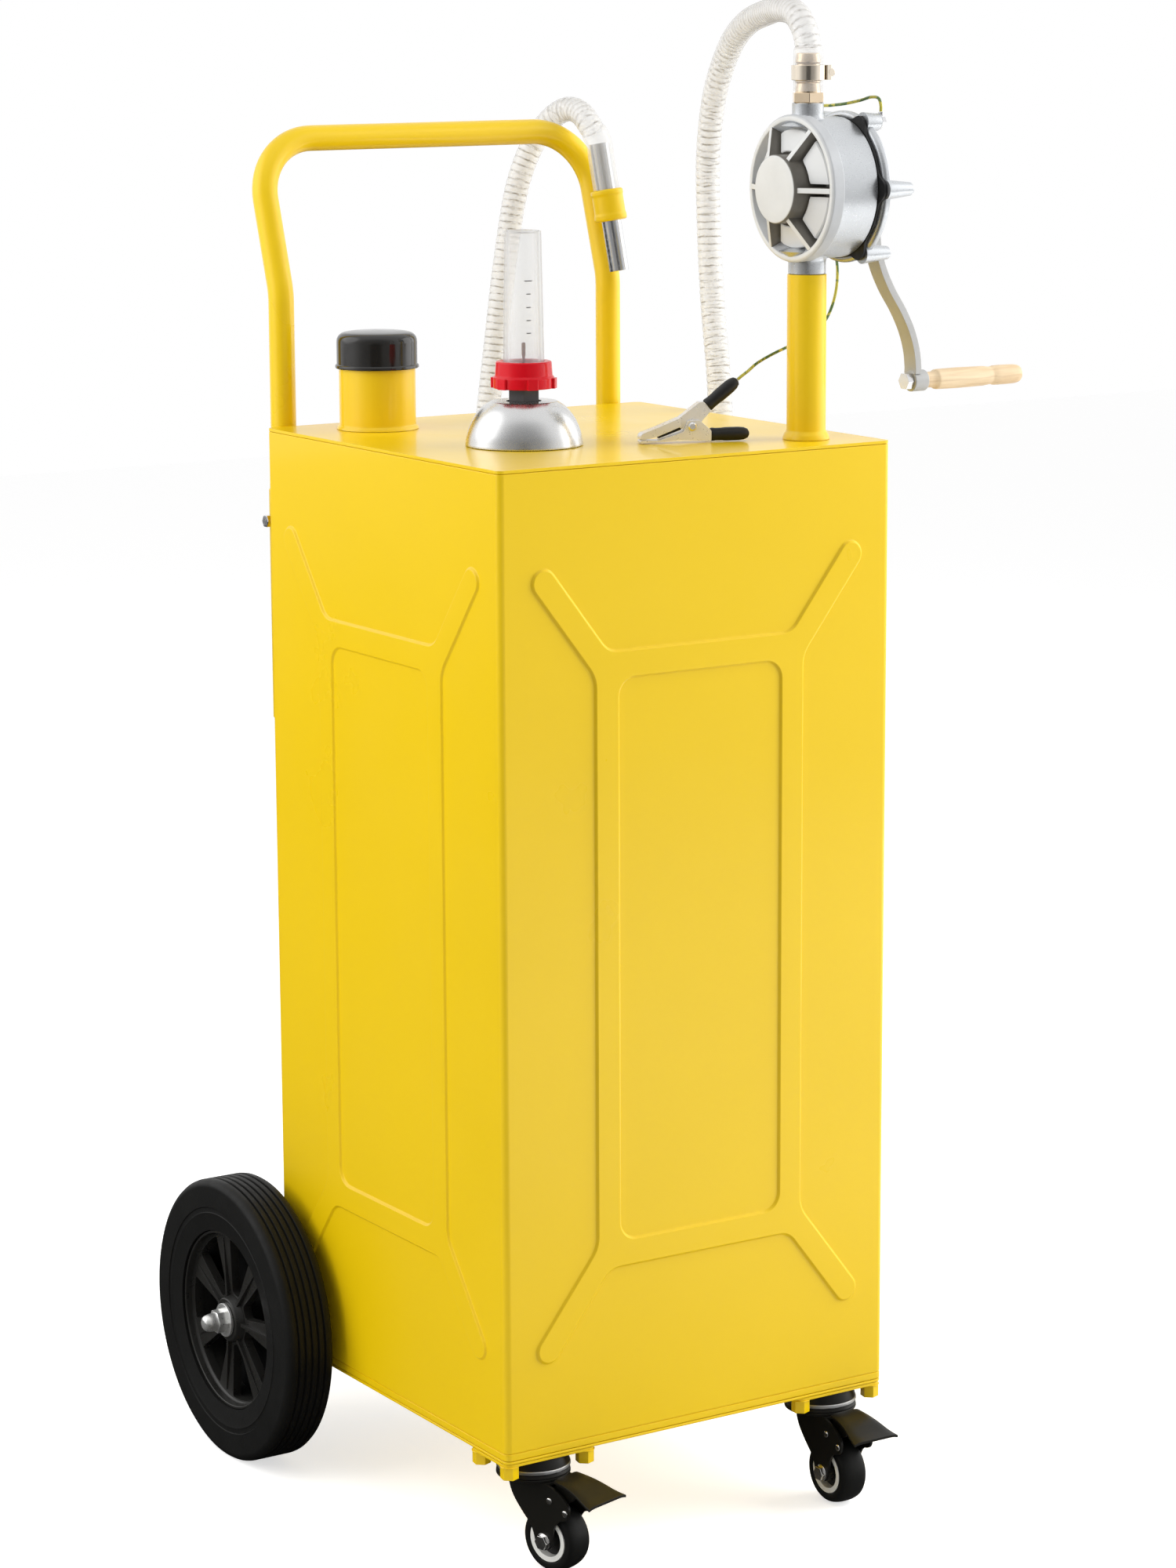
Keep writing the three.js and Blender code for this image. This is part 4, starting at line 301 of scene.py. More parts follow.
LOOKS = {look.name: look for look in (
    paint_look("yellow_paint"),
    moulded_look("black_plastic", (0.017, 0.0165, 0.015), 0.3, gloss=0.4),
    # Near-black for the disc behind the wheel windows: painted shade.
    moulded_look("painted_shade_plastic", (0.002, 0.002, 0.002), 0.7, gloss=0.1),
    moulded_look("cap_plastic", (0.012, 0.011, 0.010), 0.1, depth=0.00001, gloss=0.6),
    moulded_look("pointer_plastic", (0.11, 0.004, 0.005), 0.3),
    moulded_look("black_rubber", (0.012, 0.012, 0.012), 0.42, gloss=0.35),
    moulded_look("tyre_rubber", (0.008, 0.008, 0.0075), 0.48, 500.0, 0.0001, 0.75, 0.17),
    paint_look("black_steel", (0.008, 0.0075, 0.006), 0.36, 0.05, gloss=0.2),
    metal_look("cast_aluminium", (0.62, 0.64, 0.66), 0.3, 700.0, 0.00006, 0.8),
    metal_look("arm_casting", (0.5, 0.5, 0.49), 0.46, 700.0, 0.00006, 0.35),
    paint_look("white_aluminium", (0.76, 0.765, 0.755), 0.36, 0.3, 700.0),
    metal_look("zinc", (0.8, 0.8, 0.81), 0.2),
    metal_look("clamp_steel", (0.94, 0.84, 0.7), 0.12, grain=120.0),
    metal_look("nut_steel", (0.9, 0.9, 0.88), 0.3, metal=0.85),
    metal_look("clip_steel", (0.9, 0.885, 0.87), 0.3, metal=0.5),
    metal_look("spout_steel", (0.72, 0.73, 0.75), 0.16),
    metal_look("race_steel", (0.72, 0.72, 0.72), 0.45),
    metal_look("bright_steel", (0.92, 0.91, 0.89), 0.17),
    metal_look("brass", (0.96, 0.77, 0.55), 0.1),
    clear_look("clear_plastic", (0.9, 0.9, 0.9), (0.27, 0.27, 0.27), 0.04, 0.18, 0.78),
    hose_look(),
    moulded_look("red_plastic", (0.7, 0.003, 0.014), 0.2, gloss=0.3),
    metal_look("silver_dome", (0.74, 0.74, 0.74), 0.24, 900.0, 0.00002),
    metal_look("grey_metal", (0.1, 0.095, 0.095), 0.5, metal=0.5),
    # The pump's front cover with painted shade on its flanks; the hub and ribs get near-black painted shade
    # on theirs.
    cover_painted_shade_look("cover_rim_painted_shade", (0.47, 0.485, 0.5), (0.57, 0.585, 0.6)),
    cover_painted_shade_look("cast_star_painted_shade", (0.13, 0.12, 0.1), (0.22, 0.205, 0.18)),
    wood_look(),
    moulded_look("white_nylon", (0.82, 0.82, 0.78), 0.4),
    wire_look(),
)}

for node_name, node in nodes.items():
    node.data.materials.clear()
    node.data.materials.append(LOOKS[SLOT_OF[node_name]].material)

# Ways to lay a shape: height along X, face towards X, face towards Y, and flat with its rise along X
AXIS_X = Matrix(((0, 0, 1, 0), (0, 1, 0, 0), (-1, 0, 0, 0), (0, 0, 0, 1)))
FACE_X = Matrix(((0, 0, 1, 0), (1, 0, 0, 0), (0, 1, 0, 0), (0, 0, 0, 1)))
FACE_Y = Matrix(((1, 0, 0, 0), (0, 0, -1, 0), (0, 1, 0, 0), (0, 0, 0, 1)))
RISE_X = Matrix(((0, 1, 0, 0), (1, 0, 0, 0), (0, 0, -1, 0), (0, 0, 0, 1)))


def shift(x, y, z):
    return Matrix.Translation((x, y, z))


def spin(angle, axis="Z"):
    return Matrix.Rotation(angle, 4, axis)


def half_turn(side):
    """Turns a shape that faces right so that it faces left, where the side is the left one."""
    return spin(0 if side > 0 else math.pi)


def add_rings(bm, rings, closed_loop=False, caps=False):
    rows = [[bm.verts.new(point) for point in ring] for ring in rings]
    sides = len(rows[0])
    pairs = list(zip(rows, rows[1:]))
    if closed_loop:
        pairs.append((rows[-1], rows[0]))
    for low, high in pairs:
        for i in range(sides):
            j = (i + 1) % sides
            bm.faces.new((low[i], low[j], high[j], high[i]))
    if caps:
        bm.faces.new(rows[0][::-1])
        bm.faces.new(rows[-1])
    return rows


def fill(bm, loops):
    edges = [bm.edges.get((loop[i - 1], loop[i])) for loop in loops for i in range(len(loop))]
    bmesh.ops.triangle_fill(bm, use_beauty=True, edges=edges)


def turned(bm, profile, place=Matrix(), sides=64, ring=False):
    """A turned shape. Its profile is a row of (radius, height), closed through the bore when ring is set."""
    angles = [TURN * i / sides for i in range(sides)]
    add_rings(bm, [
        [place @ Vector((radius * math.cos(a), radius * math.sin(a), height)) for a in angles]
        for radius, height in profile if radius > 0
    ], ring, not ring)


def disc(bm, radius, low, high, place=Matrix(), edge=0.0, sides=64, steps=3):
    section = [(0, low), (radius, low), (radius, high), (0, high)]
    turned(bm, rounded(section, edge, steps), place, sides)


def tube(bm, inner, outer, low, high, place=Matrix(), edge=0.0, sides=64, steps=3):
    section = [(inner, low), (outer, low), (outer, high), (inner, high)]
    turned(bm, rounded(section, edge, steps, True), place, sides, True)


def plate(bm, outline, low, high, place=Matrix(), holes=()):
    levels = [
        [[bm.verts.new(place @ Vector((x, y, height))) for x, y in loop] for loop in (outline, *holes)]
        for height in (low, high)
    ]
    for under, over in zip(*levels):
        for i in range(len(under)):
            j = (i + 1) % len(under)
            bm.faces.new((under[i], under[j], over[j], over[i]))
    for loops in levels:
        if holes:
            fill(bm, loops)
        else:
            bm.faces.new(loops[0])


def rounded(points, radius, steps=3, ring=False):
    """The same outline with its corners rounded off."""
    out = []
    for i, point in enumerate(points):
        here = np.array(point, float)
        before = np.array(points[i - 1], float) - here
        after = np.array(points[(i + 1) % len(points)], float) - here
        spans = np.linalg.norm(before), np.linalg.norm(after)
        reach = min(radius, 0.45 * spans[0], 0.45 * spans[1])
        if reach < 0.02 or (not ring and i in (0, len(points) - 1)):
            out.append(tuple(here))
            continue
        start, end = here + before / spans[0] * reach, here + after / spans[1] * reach
        for step in range(steps + 1):
            t = step / steps
            out.append(tuple((1 - t) ** 2 * start + 2 * t * (1 - t) * here + t * t * end))
    return out


def circle(radius, sides=48, start=0.0):
    angles = [start + TURN * i / sides for i in range(sides)]
    return [(radius * math.cos(angle), radius * math.sin(angle)) for angle in angles]


def hexagon(across):
    return circle(across / 2 / math.cos(math.pi / 6), 6)


def round_rectangle(half_wide, half_tall, radius, steps=8):
    points = []
    for quarter, (sign_x, sign_y) in enumerate(((1, 1), (-1, 1), (-1, -1), (1, -1))):
        for i in range(steps + 1):
            angle = TURN / 4 * (quarter + i / steps)
            points.append((
                sign_x * (half_wide - radius) + radius * math.cos(angle),
                sign_y * (half_tall - radius) + radius * math.sin(angle),
            ))
    return points


def offset(outline, distance):
    """The outline moved outwards by a distance, mitred at its corners. It runs anticlockwise."""
    points = np.array(outline, float)
    ahead = np.roll(points, -1, 0) - points
    ahead /= np.linalg.norm(ahead, axis=1)[:, None]
    normals = np.stack([ahead[:, 1], -ahead[:, 0]], 1)
    both = normals + np.roll(normals, 1, 0)
    both /= (both * both).sum(1)[:, None] / 2
    return points + both * distance


def curve_points(points, per_gap=24):
    """Centripetal Catmull-Rom line through the points."""
    p = [np.array(point, float) for point in points]
    p = [p[0] * 2 - p[1], *p, p[-1] * 2 - p[-2]]
    out = []
    for i in range(1, len(p) - 2):
        t0 = 0.0
        t1 = t0 + np.linalg.norm(p[i] - p[i - 1]) ** 0.5
        t2 = t1 + np.linalg.norm(p[i + 1] - p[i]) ** 0.5
        t3 = t2 + np.linalg.norm(p[i + 2] - p[i + 1]) ** 0.5
        for t in np.linspace(t1, t2, per_gap, endpoint=False):
            a1 = (t1 - t) / (t1 - t0) * p[i - 1] + (t - t0) / (t1 - t0) * p[i]
            a2 = (t2 - t) / (t2 - t1) * p[i] + (t - t1) / (t2 - t1) * p[i + 1]
            a3 = (t3 - t) / (t3 - t2) * p[i + 1] + (t - t2) / (t3 - t2) * p[i + 2]
            b1 = (t2 - t) / (t2 - t0) * a1 + (t - t0) / (t2 - t0) * a2
            b2 = (t3 - t) / (t3 - t1) * a2 + (t - t1) / (t3 - t1) * a3
            out.append((t2 - t) / (t2 - t1) * b1 + (t - t1) / (t2 - t1) * b2)
    out.append(p[-2])
    return np.array(out)


def respaced(line, count):
    steps = np.linalg.norm(np.diff(line, axis=0), axis=1)
    along = np.concatenate([[0], np.cumsum(steps)])
    wanted = np.linspace(0, along[-1], count)
    return np.stack([np.interp(wanted, along, line[:, k]) for k in range(3)], 1), along[-1]


def swept_rings(line, radii, sides):
    """Rings of points round a line, carried along it without twist."""
    tangents = np.gradient(line, axis=0)
    tangents /= np.linalg.norm(tangents, axis=1)[:, None]
    helper = np.array([1.0, 0, 0]) if abs(tangents[0][0]) < 0.9 else np.array([0, 1.0, 0])
    across = np.cross(tangents[0], helper)
    rings = []
    angles = np.arange(sides) * TURN / sides
    for point, tangent, radius in zip(line, tangents, radii):
        across = across - tangent * (across @ tangent)
        across /= np.linalg.norm(across)
        other = np.cross(tangent, across)
        rings.append(point + radius * (np.cos(angles)[:, None] * across + np.sin(angles)[:, None] * other))
    return rings


def add_object(name, bm, material):
    mesh = bpy.data.meshes.new(name)
    bm.to_mesh(mesh)
    bm.free()
    mesh.materials.append(material)
    made = bpy.data.objects.new(name, mesh)
    bpy.context.scene.collection.objects.link(made)
    return made


def finish(name, bm, look, replaced=(), body=None, bevel=0.0, sharp=38):
    """Turns a bmesh in millimetres into a piece in metres that rides on its body."""
    bmesh.ops.scale(bm, vec=(MM, MM, MM), verts=bm.verts)
    bmesh.ops.recalc_face_normals(bm, faces=bm.faces)
    if not bevel:
        for edge in bm.edges:
            edge.smooth = len(edge.link_faces) != 2 or edge.calc_face_angle(0) < math.radians(sharp)
    piece = add_object(name, bm, LOOKS[look].material)
    polygons = piece.data.polygons
    polygons.foreach_set("use_smooth", [True] * len(polygons))
    if bevel:
        edges = piece.modifiers.new("edges", "BEVEL")
        edges.width = bevel * MM
        edges.segments = 3
        edges.limit_method = "ANGLE"
        edges.angle_limit = math.radians(30)
    piece.modifiers.new("weights", "WEIGHTED_NORMAL").keep_sharp = True
    replaced = [replaced] if isinstance(replaced, str) else list(replaced)
    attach(piece, body or BODY_OF[replaced[0]])
    if replaced:
        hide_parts(*replaced)
    return piece


# Level of the lid, and of what stands on it
LID_TOP = 815.0
LID_FACE = LID_TOP + GAP

# Hose
HOSE_START = (138.5, -141.5, 1099.5)
SPOUT_TOP = np.array((153.5, 198.0, 1046.0))
SPOUT_MOUTH = np.array((164.6, 182.5, 934.0))
SPOUT_ALONG = (SPOUT_MOUTH - SPOUT_TOP) / np.linalg.norm(SPOUT_MOUTH - SPOUT_TOP)
HOSE_CUFF = 33.0
HOSE_TAIL = 50.0
HOSE_RUN = 42.0
SLEEVE_FROM = 41.0
HOSE_ROUTE = [
    (138.6, -139, 1143), (140.5, -128.5, 1155), (146, -110, 1162.5), (156, -76, 1165), (169, -41, 1162),
    (186, 15, 1152), (200, 60, 1132), (209, 96, 1092), (216, 117, 1040), (219, 121, 985), (217, 112, 910),
    (210, 91, 838), (207, 85, 790), (212, 113, 720), (216, 160, 650), (212, 203, 580), (196, 231, 510),
    (178, 242, 430), (160, 252, 340), (135, 262, 250), (100, 271, 196), (62, 278, 185), (30, 284, 215),
    (18, 288, 285), (24, 290, 390), (42, 290, 510), (63, 290, 630), (82, 290, 740), (98, 290, 850),
    (112, 290, 945), (126, 290, 1010), (139, 284, 1045), (149, 268, 1067), (152.5, 248, 1075),
    (152, 226, 1072), (150, 208, 1062),
]
HOSE_PITCH = 6.5
HOSE_OUTER = 11.0
HOSE_SIDES = 32
RINGS_PER_RIB = 6
RIB_FADE = 4.0
RIB_RISE, RIB_BITE = 0.22, 0.2
HOSE_VALLEY = 0.3
HOSE_WALL = 1.2
# How much the plain ends swell over the fitting: at the pump, and at the spout
END_SWELL = (1.3, 0.9)


def hose_centreline():
    start = np.array(HOSE_START)
    end = SPOUT_TOP + SPOUT_ALONG * (SLEEVE_FROM - GAP)
    start_run = [start + np.array((0, 0, HOSE_CUFF * i / 3)) for i in range(4)]
    end_run = [end - SPOUT_ALONG * HOSE_RUN * i / 3 for i in (3, 2, 1, 0)]
    return curve_points([*start_run, *HOSE_ROUTE, *end_run])


def lay_run(bm, plain):
    """Writes how many ribs lie before each corner of the hose, and whether it is ribbed there."""
    layer = bm.loops.layers.uv.new("run")
    bm.verts.index_update()
    for face in bm.faces:
        for loop in face.loops:
            row = loop.vert.index // HOSE_SIDES
            row = min(row, 2 * len(plain) - 1 - row)
            loop[layer].uv = (row / RINGS_PER_RIB, 1.0 - plain[row])


def make_hose():
    length = respaced(hose_centreline(), 2)[1]
    ribs = round(length / HOSE_PITCH)
    line, length = respaced(hose_centreline(), ribs * RINGS_PER_RIB + 1)
    station = np.arange(len(line))
    wave = np.cos(TURN * station / RINGS_PER_RIB)
    along = station / (len(line) - 1) * length
    from_ends = np.maximum(HOSE_CUFF + RIB_FADE - along, along - length + HOSE_TAIL + RIB_FADE)
    plain = np.clip(from_ends / RIB_FADE, 0, 1)
    outer = HOSE_OUTER - HOSE_VALLEY + RIB_RISE * wave * (1 - plain)
    outer = outer + plain * np.where(along < length / 2, *END_SWELL)
    inner = outer - HOSE_WALL - RIB_BITE * wave * (1 - plain)
    rings = swept_rings(line, outer, HOSE_SIDES) + swept_rings(line, inner, HOSE_SIDES)[::-1]
    bm = bmesh.new()
    add_rings(bm, rings, closed_loop=True)
    lay_run(bm, plain)
    piece = finish("ribbed_hose", bm, "hose_plastic", "hose")
    points = line[:: RINGS_PER_RIB * 2] * MM
    if (len(line) - 1) % (RINGS_PER_RIB * 2):
        points = np.vstack([points, line[-1:] * MM])
    return piece, points, length


hose_piece, hose_path, hose_length = make_hose()

# Wire
WIRE_START = (189.7, -172.25, 1082.56)
WIRE_ROUTE = [
    (189.7, -172, 1088), (189.8, -169, 1093), (189.3, -160, 1094), (187, -147, 1091), (182, -132, 1088),
    (178, -119, 1086.5), (177, -106, 1085), (179, -92, 1073), (183, -77, 1048), (188, -68, 1020),
    (193, -70, 995), (200, -80, 978), (203.5, -91, 962), (201, -98, 945), (194, -103, 925), (181, -108, 908),
    (160, -112, 896), (140, -114, 889.5), (122, -116, 884), (104, -119, 877.5), (92.5, -122.8, 872),
]
WIRE_RADIUS = 1.25
WIRE_CLEAR = 0.4
WIRE_LEAD = 5.0
CLIP_PLACE = shift(4.7, -93.0, LID_TOP) @ spin(math.radians(-19.9))
LOWER_GRIP = (60.3, 6.2)
UPPER_GRIP = (57.50, 29.89)
UPPER_LEAN = math.radians(38.57)
GRIP_LONG = 33.0


def make_wire():
    tail = [CLIP_PLACE @ Vector((
        UPPER_GRIP[0] + reach * math.cos(UPPER_LEAN), 0, UPPER_GRIP[1] + reach * math.sin(UPPER_LEAN),
    )) for reach in (GRIP_LONG + WIRE_CLEAR + WIRE_LEAD, GRIP_LONG + WIRE_CLEAR)]
    line, length = respaced(curve_points([WIRE_START, *WIRE_ROUTE, *tail]), 260)
    bm = bmesh.new()
    add_rings(bm, swept_rings(line, [WIRE_RADIUS] * len(line), 12), caps=True)
    return finish("earthing_wire", bm, "wire_jacket", "ground_wire"), line[::7] * MM, length


wire_piece, wire_path, wire_length = make_wire()

# Tank
TANK_HALF = 190.0
TANK_CORNER = 6.0
SHEET = 1.5
BASE_TOP = 2.5
LID_UNDER = 812.5
SEAM_UP = 9.0
# The rolled seam in section: up from its middle, and how far it is drawn in
SEAM = ((-0.9, 0), (-0.5, 0.25), (-0.25, 0.9), (0.25, 0.9), (0.5, 0.25), (0.9, 0))
BAND_PROUD = 2.0
BAND_SLOPE = 2.4
BAND_WIDE = 24.5
FRAME_HALF = (78.0, 233.0)
ARM_HALF = 12.0
ARM_END = (149.0, 316.0)
ARM_LEAN = math.radians(52.3)
# The pressed step in section: how far up its slope, and how high
BAND_SECTION = ((0, -0.15), (0, 0), (0.14, 0.05), (0.3, 0.2), (0.5, 0.5), (0.7, 0.8), (0.86, 0.95), (1, 1))


def band_outline():
    outer_wide, outer_tall = FRAME_HALF[0] + BAND_WIDE, FRAME_HALF[1] + BAND_WIDE
    c, s = math.cos(ARM_LEAN), math.sin(ARM_LEAN)
    lower = (ARM_END[0] + s * ARM_HALF, ARM_END[1] - c * ARM_HALF)
    upper = (ARM_END[0] - s * ARM_HALF, ARM_END[1] + c * ARM_HALF)
    quarter = [(outer_wide, lower[1] - (lower[0] - outer_wide) * s / c)]
    for i in range(17):
        angle = ARM_LEAN - TURN / 4 + math.pi * i / 16
        quarter.append((ARM_END[0] + ARM_HALF * math.cos(angle), ARM_END[1] + ARM_HALF * math.sin(angle)))
    quarter.append((upper[0] - (upper[1] - outer_tall) * c / s, outer_tall))
    top = quarter + [(-x, z) for x, z in reversed(quarter)]
    return rounded(top + [(-x, -z) for x, z in top], 9, 5, True)


def raised_band(bm, place):
    tops = []
    for outline, way in ((band_outline(), -1), (round_rectangle(*FRAME_HALF, 14), 1)):
        rings = []
        for share, height in BAND_SECTION:
            moved = offset(outline, way * BAND_SLOPE * share)
            level = -TANK_HALF - BAND_PROUD * height
            rings.append([place @ Vector((x, level, LID_TOP / 2 + z)) for x, z in moved])
        tops.append(add_rings(bm, rings)[-1])
    fill(bm, tops)


def make_tank():
    bm = bmesh.new()
    low, high = BASE_TOP + GAP, LID_UNDER - GAP
    levels = [
        (low, 0.8), (low + 0.3, 0.25), (low + 0.8, 0), *[(SEAM_UP + up, inset) for up, inset in SEAM],
        (high - 0.9, 0), (high - 0.3, 0.25), (high, 0.8),
    ]
    rings = [
        [Vector((x, y, z)) for x, y in round_rectangle(*[TANK_HALF - inset] * 2, TANK_CORNER - inset)]
        for z, inset in [*levels, (high, SHEET), (low, SHEET)]
    ]
    add_rings(bm, rings, closed_loop=True)
    for side in range(4):
        raised_band(bm, spin(TURN * side / 4))
    finish("tank_sheet", bm, "yellow_paint", "tank_wrap", sharp=60)
    bm = bmesh.new()
    outline = round_rectangle(TANK_HALF, TANK_HALF, TANK_CORNER)
    mouth = [(x + FILLER[0], y + FILLER[1]) for x, y in circle(NECK_RADIUS + GAP, 64)]
    plate(bm, outline, LID_UNDER, LID_TOP, holes=[mouth])
    finish("lid_sheet", bm, "yellow_paint", "tank_top", bevel=1.2)
    bm = bmesh.new()
    plate(bm, outline, 0, BASE_TOP)
    finish("base_sheet", bm, "yellow_paint", "tank_bottom", bevel=0.8)


# Filler
FILLER = (-113.0, 133.0)
NECK_RADIUS = 32.5
NECK_PROFILE = [
    (30, 800), (NECK_RADIUS, 800), (NECK_RADIUS, LID_FACE), (35, LID_FACE), (34.6, 816.9), (33.4, 818.1),
    (NECK_RADIUS, 819.6), (NECK_RADIUS, 892.2), (31.9, 893), (30.6, 893), (30, 892.2),
]
CAP_LOWER = [
    (0, 893.3), (32.8, 893.3), (32.8, 866.8), (35.1, 866.8), (35.6, 867.3), (35.6, 868.9), (35.1, 869.6),
    (34.3, 870.2),
]
CAP_SHOULDER = [
    (34.3, 888.8), (33.9, 891.4), (32.6, 894.0), (29.6, 896.3), (24, 897.4), (12, 898.1), (0.2, 898.3),
]


def make_filler():
    place = shift(*FILLER, 0)
    bm = bmesh.new()
    turned(bm, NECK_PROFILE, place, 96, True)
    finish("neck", bm, "yellow_paint", "filler_neck")
    bm = bmesh.new()
    turned(bm, [*CAP_LOWER, *curve_points(CAP_SHOULDER, 5)], place, 128)
    finish("cap_shell", bm, "cap_plastic", "filler_cap")


# Level gauge
GAUGE = (-77.0, -46.0)
DOME_SHARES = [(0, 1), (0.28, 0.96), (0.62, 0.85), (0.87, 0.7), (1, 0.556)]
NUT_PROFILE = [
    (20.8, 862), (25.3, 862), (25.3, 870.8), (23.7, 872.2), (22.9, 883.2), (22, 884), (17.3, 884),
    (17.3, 880.5), (20.8, 880.5),
]
TUBE_PROFILE = [
    (13.1, 989.6), (15, 989.6), (17, 880.2), (20.5, 880.2), (20.5, 869.3), (14.8, 869.3), (12.8, 987.8),
]
ROD_PROFILE = [
    (0, 685), (1.4, 685), (1.4, 869.3), (4, 869.3), (4, 871.8), (1.1, 872.5), (1.1, 887), (1.6, 889),
    (1.6, 898.4), (0.9, 899),
]
BOSS_TALL = 3
DOME_FOOT, DOME_TALL, DOME_RADIUS = 816.4, 34.9, 48.5
STEM_FROM, STEM_HEAD, STEM_TOP = 849, 863, 869
STEM_RADIUS = 20.5
DOME_LINING = (1.9, 0.9)
ROOF = (13, 987.9, 990)
NUT_FOOT, NUT_LUGS = 862, 6
TICK_HEIGHTS = (907.7, 918, 928.6, 939.4, 950)
TICK_AZIMUTH = math.radians(-16)
TICK_SECTION = ((-0.2, -0.35), (0.12, -0.35), (0.12, 0.35), (-0.2, 0.35))
SHORT_TICK, LONG_TICK = 0.11, 0.2
TUBE_FOOT = (17, 880.2)
TUBE_TAPER = 2 / 109.4


def make_gauge():
    place = shift(*GAUGE, 0)
    bm = bmesh.new()
    tube(bm, 20.3, 34, LID_FACE, LID_FACE + BOSS_TALL, place, 0.7)
    finish("boss_flange", bm, "yellow_paint", "gauge_boss")
    bm = bmesh.new()
    skin = curve_points([(DOME_RADIUS * share, DOME_FOOT + DOME_TALL * up) for up, share in DOME_SHARES], 8)
    lining = [(radius - DOME_LINING[0], height - DOME_LINING[1]) for radius, height in skin.tolist()[::-1]]
    bead = [(46.4, LID_FACE), (47.6, LID_FACE), (48.4, LID_FACE + 0.3)]
    turned(bm, [*bead, *skin.tolist(), (14.6, 851.3), *lining[1:-1]], place, 128, True)
    finish("dome_shell", bm, "silver_dome", "gauge_dome", sharp=50)
    bm = bmesh.new()
    plate(bm, hexagon(24.2), STEM_FROM, STEM_HEAD, place @ spin(math.radians(-2)))
    disc(bm, STEM_RADIUS, STEM_HEAD, STEM_TOP, place, 0.5)
    finish("stem_hexagon", bm, "grey_metal", "gauge_stem", bevel=0.4)
    bm = bmesh.new()
    turned(bm, rounded(NUT_PROFILE, 0.9, 3, True), place, 96, True)
    for i in range(NUT_LUGS):
        lug = round_rectangle(2.2, 4.5, 0.9, 3)
        plate(bm, lug, NUT_FOOT, 870.6, place @ spin(TURN * (i + 0.25) / NUT_LUGS) @ shift(24.8, 0, 0))
    finish("union_nut", bm, "red_plastic", "gauge_nut", bevel=0.5)
    bm = bmesh.new()
    turned(bm, rounded(TUBE_PROFILE, 0.5, 2, True), place, 96, True)
    finish("sight_tube", bm, "clear_plastic", "gauge_tube")
    bm = bmesh.new()
    disc(bm, *ROOF, place, 0.4)
    finish("tube_roof", bm, "clear_plastic", body="caddy")
    bm = bmesh.new()
    turned(bm, ROD_PROFILE, place, 24)
    finish("pointer", bm, "pointer_plastic", "gauge_rod")
    bm = bmesh.new()
    for height in TICK_HEIGHTS:
        radius = TUBE_FOOT[0] - TUBE_TAPER * (height - TUBE_FOOT[1])
        reach = LONG_TICK if height == TICK_HEIGHTS[-1] else SHORT_TICK
        section = [(radius + out, height + up) for out, up in TICK_SECTION]
        add_rings(bm, [
            [place @ Vector((math.sin(a) * r, -math.cos(a) * r, z)) for r, z in section]
            for a in (TICK_AZIMUTH + reach * (step / 4 - 1) for step in range(9))
        ], caps=True)
    finish("scale_marks", bm, "grey_metal", body="caddy")


# Riser and pump: places along the shaft are measured from the riser's axis
RISER = (138.5, -141.5)
SHAFT_UP = 1021.0
PUMP = shift(*RISER, SHAFT_UP)
PUMP_X = PUMP @ AXIS_X
RISER_PROFILE = [
    (14.25, LID_FACE), (19.5, LID_FACE), (19.3, 817.5), (18.3, 819.8), (17, 821.4), (16.25, 823.2),
    (16.25, 950.6), (15.9, 951), (14.25, 951),
]
GASKET_FROM = 29.8
BACK_FROM = 32.8
DRUM_BORE = 51
RIB_HALF = 2.3
FLOOR_OPENING = 47
EARTH_LOBE = 1
COVER_RING = [
    (49.5, -8.5), (55, -17.5), (58, -17.5), (60, -15.5), (60, -5.3), (54.7, -5.3), (54.7, 2.5), (49.5, 2.5),
]
RIB_SIDE = [(-31, 26), (-17.5, 55.5), (-8.5, 55.5), (-0.5, 50), (-0.5, 26)]
COVER_HUB = [(29.5, -1.6), (28, -3.4), (28, -31.8), (27.5, -33), (26.3, -33.7), (18, -33.9), (0.2, -34)]
LOBES = 6
PAD_CLEAR = 5.2
PAD_RADII = (30.2, 31.2, 37, 43, 47.8, 48.6)
PAD_TOP, PAD_SLOPE, PAD_BACK = -20.0, 0.36, -3.0
PAD_EDGES = (0.9, 0.7)
DRUM = [(36, 2.8), (55, 2.8), (55, -5), (57.5, -5), (57.5, 29.5), (36, 29.5)]
INLET = [
    (0, -69.7), (15.1, -69.7), (15.5, -69.3), (15.5, -60), (16.1, -57), (18.6, -54), (23, -51), (0.2, -45),
]
OUTLET = [(22, 50.5), (17, 53.5), (14, 57), (13, 60.5), (13, 68.5), (12.5, 69), (0.2, 69)]
# One ear of the gasket: radians from its lobe, and radius
EAR = ((-0.19, 58.5), (-0.1, 64), (-0.05, 66), (0.05, 66), (0.1, 64), (0.19, 58.5), (0.52, 58.5))
REAR_DISC = [(7.3, BACK_FROM), (60, BACK_FROM), (62, 34.8), (62, 39.5), (23, 39.5), (20, 45.5), (7.3, 45.5)]
LOBE_OUT = 61.5
LOBE_FORM, EARTH_LOBE_FORM = (26.7, 5), (15.7, 6.6)
GLAND = [(7.3, 45.8), (14, 45.8), (14, 48.5), (12.7, 51.5), (7.3, 51.5)]


def make_riser():
    bm = bmesh.new()
    turned(bm, RISER_PROFILE, shift(*RISER, 0), 64, True)
    finish("riser", bm, "yellow_paint", "riser_pipe")


